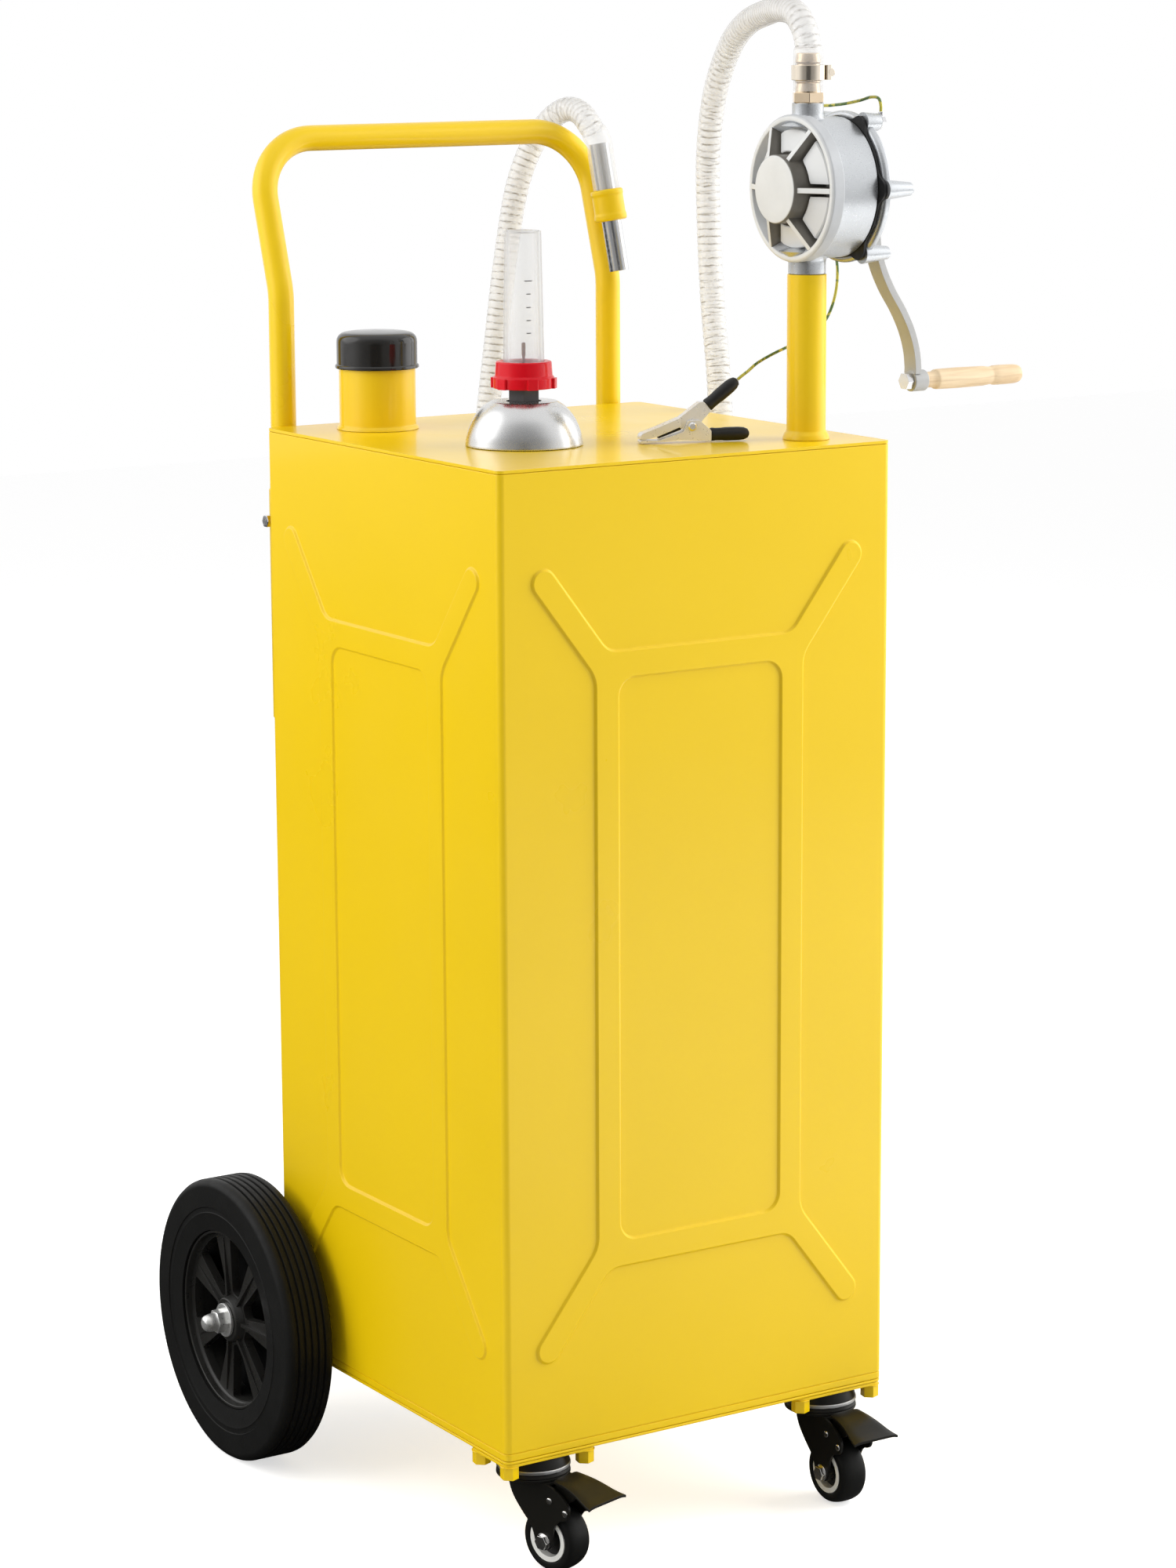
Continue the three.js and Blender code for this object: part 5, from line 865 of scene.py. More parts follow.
def cover_pad(bm, middle):
    """One raised panel between two ribs: its top slopes from the rim up towards the hub."""
    rows = []
    for radius in PAD_RADII:
        half = TURN / LOBES / 2 - math.asin(PAD_CLEAR / radius)
        drop = PAD_EDGES[0] if radius in (PAD_RADII[0], PAD_RADII[-1]) else 0
        top = PAD_TOP + PAD_SLOPE * (radius - 30) + drop
        spread = [half * (step / 4 - 1) for step in range(9)]
        row = [(top + (PAD_EDGES[1] if abs(a) == half else 0), a) for a in spread]
        row += [(PAD_BACK, a) for a in reversed(spread)]
        rows.append([
            PUMP @ Vector((x, -radius * math.sin(middle + a), radius * math.cos(middle + a))) for x, a in row
        ])
    add_rings(bm, rows, caps=True)


def make_pump_cover():
    bm = bmesh.new()
    turned(bm, rounded(COVER_RING, 0.9, 3, True), PUMP_X, 128, True)
    face = PUMP @ FACE_X
    plate(bm, circle(DRUM_BORE, 96), -8.5, 0, face, [circle(FLOOR_OPENING, 6)])
    disc(bm, 50, -1.5, 2.4, PUMP_X, sides=96)
    finish("cover_casting", bm, "cover_rim_painted_shade", "pump_front_cover", bevel=0.5)
    bm = bmesh.new()
    for i in range(LOBES):
        cover_pad(bm, TURN / 4 + TURN * (i + 0.5) / LOBES)
    finish("cover_pads", bm, "white_aluminium", body="caddy", sharp=30)
    # Hub and ribs: their flanks carry near-black painted shade.
    bm = bmesh.new()
    turned(bm, COVER_HUB, PUMP_X, 96)
    for i in range(LOBES):
        plate(bm, RIB_SIDE, -RIB_HALF, RIB_HALF, PUMP @ spin(TURN / 4 + TURN * i / LOBES, "X") @ FACE_Y)
    finish("cover_star", bm, "cast_star_painted_shade", body="caddy", bevel=0.5)


def make_pump_body():
    bm = bmesh.new()
    turned(bm, rounded(DRUM, 0.8, 3, True), PUMP_X, 128, True)
    turned(bm, INLET, PUMP)
    turned(bm, OUTLET, PUMP)
    finish("body_casting", bm, "cast_aluminium", "pump_body")
    bm = bmesh.new()
    ears = []
    for i in range(LOBES):
        for share, radius in EAR:
            angle = math.pi + TURN * i / LOBES + share
            ears.append((radius * math.cos(angle), radius * math.sin(angle)))
    plate(bm, rounded(ears, 3, 3, True), GASKET_FROM, BACK_FROM - GAP, PUMP @ FACE_X, [circle(DRUM_BORE, 96)])
    finish("gasket", bm, "black_rubber", "pump_gasket", bevel=0.3)


def make_rear_cover():
    bm = bmesh.new()
    turned(bm, rounded(REAR_DISC, 1.6, 4, True), PUMP_X, 128, True)
    for i in range(LOBES):
        long, tip = EARTH_LOBE_FORM if i == EARTH_LOBE else LOBE_FORM
        end = BACK_FROM + long
        lobe = [(8.2, BACK_FROM), (8.2, 34), (7.9, 36), (tip + 0.5, end - 1.4), (tip - 0.6, end), (0.2, end)]
        turned(bm, lobe, PUMP @ spin(-TURN * i / LOBES, "X") @ shift(0, -LOBE_OUT, 0) @ AXIS_X, 40)
        web = [(33.4, 44), (33.4, 61), (BACK_FROM + long * 0.72, 61), (41, 44)]
        plate(bm, web, -3, 3, PUMP @ spin(TURN / 4 - TURN * i / LOBES, "X") @ FACE_Y)
    finish("rear_casting", bm, "cast_aluminium", "pump_rear_cover", sharp=45)
    bm = bmesh.new()
    turned(bm, rounded(GLAND, 0.7, 3, True), PUMP_X, 48, True)
    finish("gland", bm, "zinc", "shaft_gland")


# Crank
CRANK_RADIUS = 164.0
BAR_REACH = (0, 0, 0.034, 0.148, 0.354, 0.628, 0.833, 0.959, 1, 1)
BAR_DROP = (-0.085, 0.22, 0.317, 0.415, 0.524, 0.634, 0.738, 0.841, 0.927, 0.963)
GRIP_PROFILE = [
    (4.3, 0), (6.1, 0), (6.46, 0.6), (6.6, 4), (6.8, 9), (8.2, 11), (8.5, 13), (8.75, 35), (8.33, 62),
    (7.6, 68), (7.5, 70.5), (8.2, 73), (8.4, 78), (8.3, 88), (8.1, 95), (7.6, 98.4), (6.9, 100), (6.3, 100),
    (6.3, 93.7), (4.3, 93.7),
]
GRIP_FROM = 121.5
BAR_FROM, BAR_REACHES = 66, 43.8
BAR_THICK, BAR_WIDE = 6, 16
HUB_FROM, HUB_TO = 57.5, 73.5
EYE_FROM, EYE_TO = 106.5, 121.2
PIN_NUT = (100.2, 106.2)
GRIP_PIN = [(0, 102), (4, 102), (4, 215.5), (6, 215.5), (6, 219), (5.2, 219.5), (0, 219.5)]


def make_crank():
    grip = PUMP @ shift(0, 0, -CRANK_RADIUS) @ AXIS_X
    bm = bmesh.new()
    shares = zip(BAR_REACH, BAR_DROP)
    line = curve_points([(BAR_FROM + BAR_REACHES * reach, -CRANK_RADIUS * drop) for reach, drop in shares], 6)
    along = np.gradient(line, axis=0)
    along /= np.linalg.norm(along, axis=1)[:, None]
    across = np.stack([along[:, 1], -along[:, 0]], 1) * BAR_THICK / 2
    outline = np.vstack([line + across, (line - across)[::-1]])
    plate(bm, outline, -BAR_WIDE / 2, BAR_WIDE / 2, PUMP @ FACE_Y)
    tube(bm, 7.3, 13, HUB_FROM, HUB_TO, PUMP_X, 1.2, 48)
    tube(bm, 4.3, 9, EYE_FROM, EYE_TO, grip, 1.2, 48)
    finish("crank_casting", bm, "arm_casting", "crank_arm", bevel=1.3)
    bm = bmesh.new()
    turned(bm, [(radius, GRIP_FROM + reach) for radius, reach in GRIP_PROFILE], grip, 48, True)
    finish("wooden_grip", bm, "wood", "crank_grip", sharp=50)
    bm = bmesh.new()
    turned(bm, rounded(GRIP_PIN, 0.4), grip, 32)
    plate(bm, hexagon(12.8), *PIN_NUT, PUMP @ shift(0, 0, -CRANK_RADIUS) @ FACE_X)
    finish("grip_bolt", bm, "zinc", "grip_pin", bevel=0.5)


# Outlet, clamp and spout
BARB = ((10.4, 1098.5), (10.4, 1100), (9.4, 1106))
BARB_STEP = 7.9
BARB_HEX = (1090.3, 1098.3)
CLAMP_LOW, CLAMP_HIGH = 1108.3, 1120.3
SPOUT_LONG = 113.6
SPOUT_RADII = (7.6, 8.75)
SLEEVE_PROFILE = [
    (9.05, 41), (13, 41), (14.4, 42.2), (14.5, 45), (13.9, 47), (13.9, 62), (14.5, 64), (14.4, 67.6),
    (13, 69), (9.05, 69),
]


def make_outlet():
    place = shift(*RISER, 0)
    bm = bmesh.new()
    plate(bm, hexagon(24), *BARB_HEX, place)
    tail = [(10.4, 1082.8), (10.4, BARB_HEX[1])]
    for i in range(4):
        tail += [(radius, height + i * BARB_STEP) for radius, height in BARB]
    turned(bm, [*tail, (8, 1130.2), (6, 1130.2)], place, 48)
    finish("hose_tail", bm, "brass", "outlet_barb", bevel=0.5)
    bm = bmesh.new()
    tube(bm, 12.8, 13.75, CLAMP_LOW, CLAMP_HIGH, place, 0.3, steps=2)
    plate(bm, round_rectangle(2.6, 5.9, 0.8, 3), CLAMP_LOW, CLAMP_HIGH, place @ shift(15.8, -2, 0))
    screw = place @ shift(18.3, 0, (CLAMP_LOW + CLAMP_HIGH) / 2) @ spin(TURN / 4, "X")
    disc(bm, 3.5, -8, 8, screw, 0.8, 32)
    finish("worm_clamp", bm, "clamp_steel", "hose_clamp", bevel=0.25)


def make_spout():
    place = shift(*SPOUT_TOP) @ Vector(SPOUT_ALONG).to_track_quat("Z", "Y").to_matrix().to_4x4()
    bm = bmesh.new()
    tube(bm, *SPOUT_RADII, 0, SPOUT_LONG, place, 0.4)
    spout = finish("spout_tube", bm, "spout_steel", "spout")
    bm = bmesh.new()
    turned(bm, rounded(SLEEVE_PROFILE, 0.8, 3, True), place, 64, True)
    return spout, finish("sleeve", bm, "yellow_paint", "spout_sleeve")


# Earthing clip: along the clip from its nose, and up from the lid
PIVOT = (43.7, 13.6)
JAW_HALF, WEB_HALF, HEEL_HALF = 6, 2.5, 4.4
SHANK_RADIUS, SHANK_END = 3, 16.9
LOWER_JAW = [
    (0, 0.03), (0.755, 0.22), (1.373, 0.088), (1.373, 0.72), (1.144, 1.368), (0.915, 1.368), (0.838, 0.706),
    (0.343, 0.206), (0.092, 0.243), (0, 0.243),
]
UPPER_JAW = [
    (0, 0.287), (0.092, 0.287), (0.343, 0.456), (0.767, 0.985), (0.767, 1.537), (0.327, 0.978),
    (0.046, 0.662), (0, 0.515),
]
# A dark plate in the gap between the jaws: painted shade standing in for the shaded inside of the clip.
JAW_SHADE_PLATE = [(0.36, 0.3), (0.8, 0.8), (0.86, 1.2), (0.76, 1.05), (0.37, 0.42)]
UPPER_HEEL = [
    (0.755, 0.941), (0.865, 0.779), (0.938, 0.588), (1.053, 0.574), (1.135, 0.809), (1.201, 1.324),
    (1.378, 1.912), (1.243, 2.456), (1.156, 2.463), (0.755, 1.522),
]
BOOT_PROFILE = [
    (3.4, 0), (4.9, 0), (5.4, 0.5), (5.5, 2), (5.2, 4), (5.2, 9), (5.6, 13), (5.6, 24), (5.1, 28.5),
    (3.8, 31.6), (1.8, 32.9), (0.2, 33),
]
RIVET_HALF = [(2.2, 6.3), (3.6, 6.3), (3.6, 6.6), (2.4, 7.6), (0, 7.6)]


def jaw_plate(bm, shares, half):
    outline = rounded([(PIVOT[0] * along, PIVOT[1] * up) for along, up in shares], 1.2, 3, True)
    plate(bm, outline, -half, half, CLIP_PLACE @ FACE_Y)


def grip_place(along, up, lean):
    return CLIP_PLACE @ shift(along, 0, up) @ spin(TURN / 4 - lean, "Y")


def make_clip():
    lower, upper = grip_place(*LOWER_GRIP, 0), grip_place(*UPPER_GRIP, UPPER_LEAN)
    bm = bmesh.new()
    jaw_plate(bm, LOWER_JAW, JAW_HALF)
    disc(bm, SHANK_RADIUS, -2, SHANK_END, lower, sides=24)
    finish("jaw_below", bm, "clip_steel", "clip_lower", bevel=0.5)
    # Painted shade: a dark plate in the gap between the jaws.
    bm = bmesh.new()
    jaw_plate(bm, JAW_SHADE_PLATE, WEB_HALF)
    finish("jaw_shade_plate", bm, "black_rubber", body="caddy")
    bm = bmesh.new()
    jaw_plate(bm, UPPER_JAW, JAW_HALF)
    jaw_plate(bm, UPPER_HEEL, HEEL_HALF)
    disc(bm, SHANK_RADIUS, -4, SHANK_END, upper, sides=24)
    finish("jaw_above", bm, "clip_steel", "clip_upper", bevel=0.5)
    bm = bmesh.new()
    rivet = [(radius, -along) for radius, along in reversed(RIVET_HALF)] + RIVET_HALF
    turned(bm, rivet, CLIP_PLACE @ shift(PIVOT[0], 0, PIVOT[1]) @ spin(TURN / 4, "X"), 32)
    finish("clip_pin", bm, "bright_steel", "clip_rivet")
    boots = []
    for name, node, place in (("below", "lower", lower), ("above", "upper", upper)):
        bm = bmesh.new()
        turned(bm, BOOT_PROFILE, place, 32)
        boots.append(finish("boot_" + name, bm, "black_rubber", "clip_grip_" + node, sharp=60))
    return boots


# Push handle
HANDLE_RADIUS = 11
SOCKET_LOW, SOCKET_HIGH = 560, 760
SOCKET_RADIUS = 13.5
HANDLE_BOLT_UP = 733
# Along each bolt: its shank, its head and its nut
BOLT_SHANK, BOLT_HEAD, BOLT_NUT = (147, 183), (179.8, 185.8), (147.2, 152.2)
LEG_X = 166.0
LEG_Y = 203.8
HANDLE_LEG = [(203.8, 580), (203.8, 928), (244, 1056)]
HANDLE_CORNERS = [(-LEG_X, *at) for at in HANDLE_LEG] + [(LEG_X, *at) for at in reversed(HANDLE_LEG)]
HANDLE_RADII = (60, 53, 53, 60)


def arc_line(corners, radii, steps=16):
    """A line through the corners with an arc of the given radius at each."""
    corners = [np.array(corner, float) for corner in corners]
    line = [corners[0]]
    for i, radius in enumerate(radii, 1):
        before = corners[i - 1] - corners[i]
        after = corners[i + 1] - corners[i]
        before /= np.linalg.norm(before)
        after /= np.linalg.norm(after)
        bend = math.pi - math.acos(before @ after)
        start = before * radius * math.tan(bend / 2)
        end = after * radius * math.tan(bend / 2)
        middle = before + after
        centre = middle / np.linalg.norm(middle) * radius / math.cos(bend / 2)
        for step in range(steps + 1):
            low, high = math.sin(bend * (1 - step / steps)), math.sin(bend * step / steps)
            spoke = ((start - centre) * low + (end - centre) * high) / math.sin(bend)
            line.append(corners[i] + centre + spoke)
    line.append(corners[-1])
    return np.array(line)


def make_handle():
    line = arc_line(HANDLE_CORNERS, HANDLE_RADII)
    bm = bmesh.new()
    add_rings(bm, swept_rings(line, [HANDLE_RADIUS] * len(line), 40), caps=True)
    finish("handle_bar", bm, "yellow_paint", "handle_tube")
    for hand, side in (("left", -1), ("right", 1)):
        bm = bmesh.new()
        socket = shift(side * LEG_X, LEG_Y, 0)
        tube(bm, HANDLE_RADIUS + GAP, SOCKET_RADIUS, SOCKET_LOW, SOCKET_HIGH, socket, 0.8, 48)
        finish("socket_" + hand, bm, "yellow_paint", "handle_socket_" + hand)
        out = shift(0, LEG_Y, HANDLE_BOLT_UP) @ half_turn(side)
        bm = bmesh.new()
        disc(bm, 3, *BOLT_SHANK, out @ AXIS_X, sides=24)
        for low, high in (BOLT_HEAD, BOLT_NUT):
            plate(bm, hexagon(10), low, high, out @ FACE_X)
        finish("bolt_" + hand, bm, "zinc", "handle_bolt_" + hand, bevel=0.6)


# Axle and big wheels: each wheel's outer face looks along +X before it is turned to its side
AXLE = (200.0, 25.5)
WHEEL_OUT = 225.0
SPOKES = 7
TYRE_WALL = [
    (80.3, -20), (92, -21), (100, -22.4), (108, -23), (119, -23), (121.6, -22.4), (124.2, -20.8),
    (125.6, -18.6), (126, -16.5),
]
TYRE_STEP = [(101.5, 22.9), (101, 22.1), (97, 21.9), (96.4, 22.5), (92.5, 21.7), (80.3, 20)]
GROOVES = 5
GROOVE_STEP = 6.4
GROOVE = ((126, -1.5), (125.5, -1.1), (124.2, -0.8), (124.2, 0.8), (125.5, 1.1), (126, 1.5))
# The windows between the spokes: their two radii, and half a spoke's width at each
WINDOW = (24, 74)
SPOKE_HALF = (5.2, 13)
RIM_WEB = (2.5, 10.5)
RIDGE = [(21, 10.3), (72, 10.3), (72, 11.2), (21, 14.5)]
RIM_BACK = [(18.5, -15), (74.8, -13), (74.8, -10), (18.5, -12)]
RIM_RING = [(74.5, -18), (80, -18), (80, 18), (77.4, 18), (76.6, 12), (74.5, 10)]
RIM_HUB = [(8.3, -20.2), (19, -20.2), (22, 2.5), (22, 10.5), (19, 17.7), (13, 17.7), (13, 16.4), (8.3, 16.4)]
WASHER = (5.8, 15, 18, 20.5)
ACORN_HEX = (20.3, 29)
AXLE_HALF = [(8, 196.5), (11, 196.5), (11, 204.5), (8, 204.5), (8, 242.7), (5.5, 242.7), (5.5, 254.5)]
ACORN = [(8.9, 28.2), (8.3, 30), (8, 33), (7.4, 36.4), (6.2, 38.9), (4.2, 40.4), (0.2, 41)]


def window_outline(which):
    middle = TURN * (which + 0.5) / SPOKES
    near, far = (TURN / SPOKES / 2 - math.asin(half / radius) for half, radius in zip(SPOKE_HALF, WINDOW))
    outer = [(WINDOW[1], middle + far * (step / 4 - 1)) for step in range(9)]
    polar = [(WINDOW[0], middle - near), *outer, (WINDOW[0], middle + near)]
    return rounded([(radius * math.cos(a), radius * math.sin(a)) for radius, a in polar], 3, 3, True)


def tyre_profile():
    tread = []
    for i in range(GROOVES):
        middle = (i - (GROOVES - 1) / 2) * GROOVE_STEP
        tread += [(radius, middle + across) for radius, across in GROOVE]
    outer = [(radius, -across) for radius, across in reversed(TYRE_WALL)]
    return [*TYRE_WALL, *tread, *outer[:5], *TYRE_STEP]


def make_wheel(hand, side):
    place = shift(side * WHEEL_OUT, *AXLE) @ half_turn(side)
    axis = place @ AXIS_X
    bm = bmesh.new()
    turned(bm, tyre_profile(), axis, 160, True)
    finish("tyre_" + hand, bm, "tyre_rubber", "wheel_tyre_" + hand, sharp=50)
    bm = bmesh.new()
    plate(bm, circle(77, 112), *RIM_WEB, place @ FACE_X, [window_outline(i) for i in range(SPOKES)])
    turned(bm, rounded(RIM_RING, 1, 3, True), axis, 128, True)
    turned(bm, rounded(RIM_HUB, 1.2, 3, True), axis, 64, True)
    for i in range(SPOKES):
        plate(bm, RIDGE, -1.5, 1.5, place @ spin(TURN * i / SPOKES, "X") @ RISE_X)
    finish("rim_" + hand, bm, "black_plastic", "wheel_rim_" + hand, bevel=0.7)
    # Disc behind the spoke windows, near-black as painted shade seen through them.
    bm = bmesh.new()
    turned(bm, RIM_BACK, axis, 96, True)
    finish("rim_back_" + hand, bm, "painted_shade_plastic", body="wheel_" + hand)
    bm = bmesh.new()
    tube(bm, *WASHER, axis, 0.5, 48)
    turned(bm, [(9, 28), *curve_points(ACORN, 4)], axis, 40)
    plate(bm, hexagon(18.5), *ACORN_HEX, place @ FACE_X)
    finish("acorn_nut_" + hand, bm, "nut_steel", "wheel_nut_" + hand, bevel=0.6)


def make_axle():
    bm = bmesh.new()
    profile = [*[(radius, -x) for radius, x in reversed(AXLE_HALF)], *AXLE_HALF]
    turned(bm, profile, shift(0, *AXLE) @ AXIS_X, 40)
    finish("axle_bar", bm, "zinc", "wheel_axle")


# Casters: origin on the swivel axis at the tank's underside, rolling towards -Y
CASTER = (146.0, -160.0)
CASTER_TURNS = {"left": math.radians(16), "right": 0.0}
TRAIL = 26.0
ROLLER_DROP = 72.5
FORK_HALF = 17
FORK_TOP = 22
FORK_SHEET = 2.5
# The leaf of the brake pedal: its start, length, drop, fall and arch, half width, spread, lip and sheet
LEAF_FROM, LEAF_LONG = 36, 46
LEAF_DROP, LEAF_FALL, LEAF_ARCH = 17, 11, 1.92
LEAF_HALF, LEAF_SPREAD = 15, 8
LEAF_LIP, LIP_FROM, LEAF_SHEET = 1.3, 0.78, 2.2
RACE_RADIUS = 31
RACE = (-12, -15.4)
RACE_CUP = [(0, -15.6), (29.6, -15.6), (RACE_RADIUS, -19), (0, -19)]
MOUNT_FORM, MOUNT_SHEET = (44, 29.5, 7.5), (-2.8, -0.3)
MOUNT_NUT, MOUNT_WASHER = (-14, -2.7), (8.4, -3.4, -2.6)
PEDAL_PIN = (33.5, 35.5)
FORK_SHARES = [
    (-0.54, 0), (1.19, 0), (1.77, 0.12), (2.12, 0.3), (2.04, 0.525), (1.615, 0.575), (1.42, 0.733),
    (1.33, 1.03), (1, 1.18), (0.67, 1.03), (0.5, 0.782), (0.04, 0.555), (-0.35, 0.32),
]
FORK_HEEL = [
    (12.6, -22), (14.9, -22), (9.5, -38.3), (-0.5, -50), (-12.6, -61.5), (-14.2, -60), (-2.6, -49),
    (7.5, -37.6),
]
RIVETS = ((33, 35.5), (50, 42.5))
RIVET_HEAD = [(0, 16.9), (2.9, 16.9), (2.9, 17.7), (1.9, 18.2), (0.2, 18.2)]
MOUNT_NUTS = [(x, y) for x in (-36.5, 36.5) for y in (-22, 22)]
PIVOT_DOME = [(28.2, -2.7), (28.6, -5), (29.6, -8.5), (30.4, -12)]
ROLLER_CROWN = [(24.4, -12.4), (26.3, -10.4), (27.6, -6), (28, 0), (27.6, 6), (26.3, 10.4), (24.4, 12.4)]
ROLLER_RING = [(14.2, -12.1), (18.7, -12.5), (18.7, 12.5), (14.2, 12.1)]
ROLLER_WALL = [(23, 12.5), (20.2, 12.5), (19, 11.8)]
ROLLER_WEB = [(4.3, -14.2), (8, -14.2), (8, -6), (14, -6), (14, 6), (8, 6), (8, 14.2), (4.3, 14.2)]


def make_caster_mount(hand, place):
    bm = bmesh.new()
    plate(bm, round_rectangle(*MOUNT_FORM), *MOUNT_SHEET, place)
    for x, y in MOUNT_NUTS:
        spot = place @ shift(x, y, 0)
        plate(bm, hexagon(13.6), *MOUNT_NUT, spot @ spin(0.35))
        disc(bm, *MOUNT_WASHER, spot, sides=32)
    finish("pad_" + hand, bm, "yellow_paint", "caster_mount_" + hand, bevel=1.1)
    bm = bmesh.new()
    turned(bm, [*curve_points(PIVOT_DOME, 4), (0.2, RACE[0])], place)
    finish("pivot_dome_" + hand, bm, "black_steel", body="caddy")
    bm = bmesh.new()
    disc(bm, RACE_RADIUS, *RACE, place, 0.9, 96, 4)
    finish("race_" + hand, bm, "race_steel", body="caddy")
    bm = bmesh.new()
    turned(bm, rounded(RACE_CUP, 0.8, 4), place, 96)
    finish("race_cup_" + hand, bm, "black_steel", body="caddy")


def fork_outline():
    span = ROLLER_DROP - FORK_TOP
    return rounded([(-TRAIL * forward, -FORK_TOP - span * down) for forward, down in FORK_SHARES], 7, 4, True)


def make_caster_fork(hand, place):
    bm = bmesh.new()
    for side in (-1, 1):
        inner, outer = sorted((side * (FORK_HALF - FORK_SHEET), side * FORK_HALF))
        plate(bm, fork_outline(), inner, outer, place @ FACE_X)
    plate(bm, round_rectangle(16.9, 22, 2), -24.2, -21.8, place @ shift(0, -8.4, 0))
    plate(bm, rounded(FORK_HEEL, 1, 2, True), -14.6, 14.6, place @ FACE_X)
    disc(bm, RACE_RADIUS, -19.3, -FORK_TOP, place, 0.8, 96)
    disc(bm, 5, -19.5, -7, place, sides=24)
    finish("fork_plates_" + hand, bm, "black_steel", "caster_fork_" + hand, bevel=0.5)
    bm = bmesh.new()
    axle = place @ shift(0, -TRAIL, -ROLLER_DROP)
    disc(bm, 4, -20.4, 20.4, axle @ AXIS_X, sides=24)
    for side in (-1, 1):
        out = axle @ half_turn(side)
        disc(bm, 7.2, 16.9, 17.7, out @ AXIS_X, sides=32)
        plate(bm, hexagon(11), 17.6, 21, out @ FACE_X)
        for forward, drop in RIVETS:
            spot = place @ half_turn(side) @ shift(0, -side * forward, -drop)
            turned(bm, RIVET_HEAD, spot @ AXIS_X, 24)
    finish("axle_bolt_" + hand, bm, "bright_steel", body="caster_" + hand, bevel=0.4)


def make_caster_pedal(hand, place):
    """A pressed leaf that widens and drops towards its tip, with its sides folded down."""
    bm = bmesh.new()
    rows = []
    for share in np.linspace(0, 1, 9):
        forward = LEAF_FROM + LEAF_LONG * share
        drop = LEAF_DROP + LEAF_FALL * share - LEAF_ARCH * math.sin(math.pi * min(share * 1.25, 1))
        half = LEAF_HALF + LEAF_SPREAD * share ** 1.6
        top = []
        for across in np.linspace(-1, 1, 13):
            lip = LEAF_LIP * max(0.0, abs(across) - LIP_FROM) / (1 - LIP_FROM)
            top.append((across * half, -forward, -drop - lip))
        under = [(x, y, z - LEAF_SHEET) for x, y, z in reversed(top)]
        rows.append([place @ Vector(point) for point in top + under])
    add_rings(bm, rows, caps=True)
    pin_forward, pin_drop = PEDAL_PIN
    stalk = [
        (-36.5, -19), (-58, -24.5), (-53, -33), (-pin_forward - 9, -pin_drop - 3),
        (-pin_forward, -pin_drop - 5.4), (-pin_forward + 5.4, -pin_drop),
    ]
    for inner, outer in ((-11, -8), (8, 11)):
        plate(bm, rounded(stalk, 2.5, 3, True), inner, outer, place @ FACE_X)
    tube(bm, 3.3, 5.5, -11, 11, place @ shift(0, -pin_forward, -pin_drop) @ AXIS_X, 0.5, 32, 2)
    finish("brake_pedal_" + hand, bm, "black_steel", "caster_pedal_" + hand, bevel=0.5)


def make_roller(hand, place):
    roller = place @ shift(0, -TRAIL, -ROLLER_DROP) @ AXIS_X
    far_wall = [(radius, -across) for radius, across in reversed(ROLLER_WALL)]
    bm = bmesh.new()
    turned(bm, [*far_wall, *curve_points(ROLLER_CROWN, 4), *ROLLER_WALL], roller, 96, True)
    finish("roller_tyre_" + hand, bm, "tyre_rubber", "caster_tyre_" + hand, sharp=60)
    bm = bmesh.new()
    turned(bm, rounded(ROLLER_RING, 0.7, 3, True), roller, 64, True)
    finish("roller_hub_" + hand, bm, "white_nylon", "caster_hub_" + hand)
    bm = bmesh.new()
    turned(bm, rounded(ROLLER_WEB, 0.6, 3, True), roller, 64, True)
    finish("roller_web_" + hand, bm, "black_plastic", body="roller_" + hand)


make_tank()
make_filler()
make_gauge()
make_riser()
make_pump_cover()
make_pump_body()
make_rear_cover()
make_crank()
make_outlet()
spout_pieces = make_spout()
clip_boots = make_clip()
make_handle()
make_axle()
for hand, side in (("left", -1), ("right", 1)):
    make_wheel(hand, side)
    mount = shift(side * CASTER[0], CASTER[1], 0)
    swivel = mount @ spin(CASTER_TURNS[hand])
    make_caster_mount(hand, mount)
    make_caster_fork(hand, swivel)
    make_caster_pedal(hand, swivel)
    make_roller(hand, swivel)

# Stage and light
FLOOR_Z = -0.1005
FLOOR_SIZE = 14.0
FLOOR_GLOW = 0.62
FLOOR_BRIGHT = (0.9, -0.436, 0.0)


def make_floor():
    """White for the eye. The gloss sees it painted dark, except to the right of the caddy, where it glows as
    a painted reflection.
    """
    look = Look("floor", (0.8, 0.8, 0.8), 0.6)
    look.set(look.shader, "Specular IOR Level", 0.0)
    look.rough(look.tone(2.0, 3.0, 0.55, 0.65))
    paths = look.add("ShaderNodeLightPath")
    glossy = paths.outputs["Is Glossy Ray"]
    seen = look.math("MAXIMUM", paths.outputs["Is Camera Ray"], paths.outputs["Is Transmission Ray"])
    bright = look.fit(look.toward(look.place, FLOOR_BRIGHT), 0.1, 1.0, 0.0, 1.0)
    dark = look.math("MULTIPLY", glossy, look.math("SUBTRACT", 1.0, bright))
    look.base(look.mix(dark, (0.8, 0.8, 0.8), (0.03, 0.03, 0.03)))
    glossy_glow = look.math("MULTIPLY", look.math("MULTIPLY", glossy, bright), 0.45)
    white = look.add("ShaderNodeEmission")
    look.set(white, "Strength", look.math("MULTIPLY", look.math("MAXIMUM", seen, glossy_glow), FLOOR_GLOW))
    both = look.add("ShaderNodeAddShader")
    look.set(both, 0, look.shader.outputs[0])
    look.set(both, 1, white.outputs[0])
    look.set(look.tree.nodes["Material Output"], "Surface", both.outputs[0])
    half = FLOOR_SIZE / 2
    bm = bmesh.new()
    corners = ((-1, -1), (1, -1), (1, 1), (-1, 1))
    bm.faces.new([bm.verts.new((x * half, y * half, FLOOR_Z)) for x, y in corners])
    add_object("floor", bm, look.material)


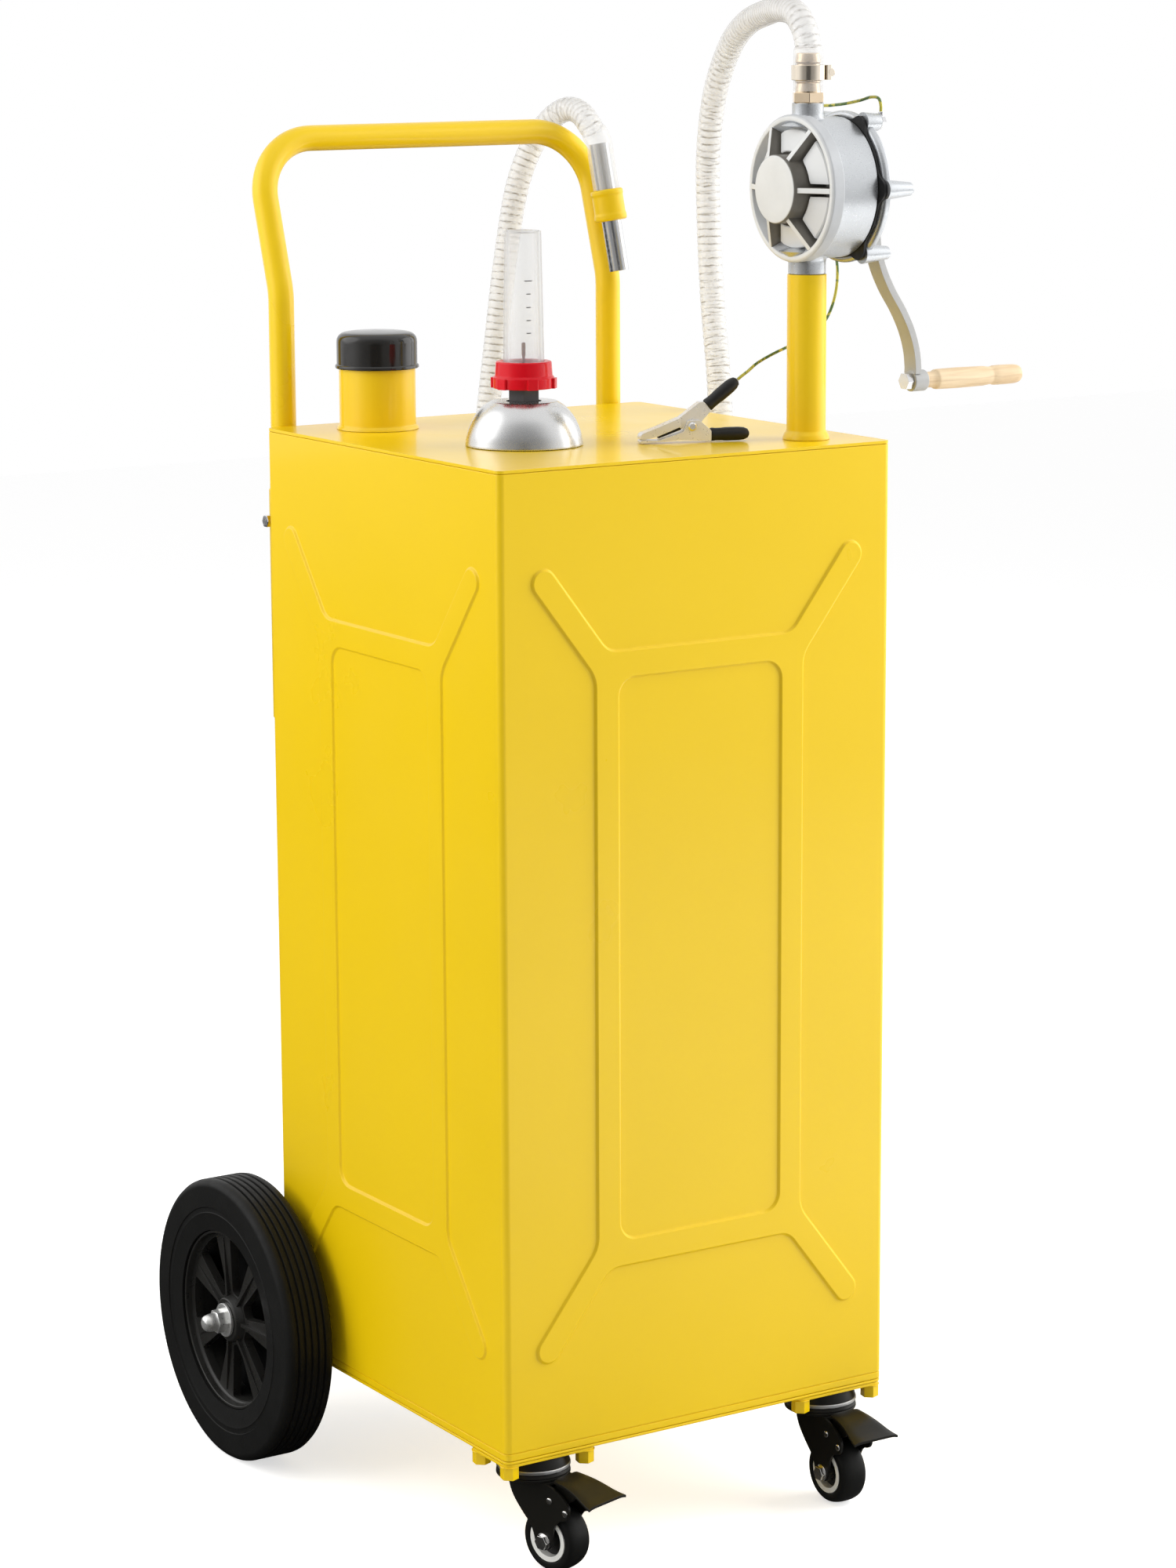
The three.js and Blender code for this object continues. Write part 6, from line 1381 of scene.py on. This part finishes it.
DIFFUSE_WORLD = 0.36
# What the gloss sees: azimuth and lift in degrees, the cosines where it starts and is full, and its level
GLOSS_PATCHES = (
    (-32, 0, 0.25, 0.92, 0.32),
    (-32, -4, 0.93, 0.99, 0.3),
    (78, 12, 0.86, 0.95, 2.2),
    (-125, 30, 0.84, 0.95, 2.0),
)


def make_world():
    """White all round for the camera, dimmer for the light, with dark and bright patches for the gloss."""
    world = bpy.data.worlds.new("world")
    bpy.context.scene.world = world
    sky = Nodes(world)
    ground = sky.tree.nodes["Background"]
    sky.set(ground, "Color", (1, 1, 1, 1))
    direction = sky.add("ShaderNodeTexCoord").outputs["Generated"]
    level = 1.0
    for azimuth, lift, first, full, strength in GLOSS_PATCHES:
        turn, rise = math.radians(azimuth), math.radians(lift)
        middle = (math.sin(turn) * math.cos(rise), -math.cos(turn) * math.cos(rise), math.sin(rise))
        patch = sky.fit(sky.toward(direction, middle), first, full, 1.0, strength, "SMOOTHSTEP")
        level = sky.math("MULTIPLY", level, patch)
    rays = sky.add("ShaderNodeLightPath").outputs
    for ray, strength in (("Is Diffuse Ray", DIFFUSE_WORLD), ("Is Camera Ray", 1.0)):
        mixed = sky.add("ShaderNodeMix", data_type="FLOAT")
        for socket, value in ((0, rays[ray]), (2, level), (3, strength)):
            sky.set(mixed, socket, value)
        level = mixed.outputs[0]
    sky.set(ground, "Strength", level)


# Name, azimuth in degrees, height, distance, width, height of its face, and power
LAMPS = (
    ("right_softbox", 63, 1.6, 2.6, 2.4, 3.0, 104),
    ("left_softbox", -104, 1.4, 2.0, 1.6, 2.4, 36),
    ("top_softbox", -30, 3.2, 1.2, 1.6, 1.6, 10),
)
LAMP_AIM = Vector((0, 0, 0.5))


def make_lamp(name, azimuth, height, distance, size, tall, power):
    """A softbox. What the gloss sees of it is painted into the world instead."""
    data = bpy.data.lights.new(name, "AREA")
    data.shape = "RECTANGLE"
    data.size = size
    data.size_y = tall
    data.energy = power
    lamp = bpy.data.objects.new(name, data)
    bpy.context.scene.collection.objects.link(lamp)
    angle = math.radians(azimuth)
    place = Vector((math.sin(angle) * distance, -math.cos(angle) * distance, height))
    lamp.rotation_mode = "QUATERNION"
    lamp.rotation_quaternion = (LAMP_AIM - place).to_track_quat("-Z", "Y")
    lamp.location = place
    lamp.visible_glossy = False


make_floor()
make_world()
for lamp in LAMPS:
    make_lamp(*lamp)

bpy.context.scene.view_settings.view_transform = "Standard"
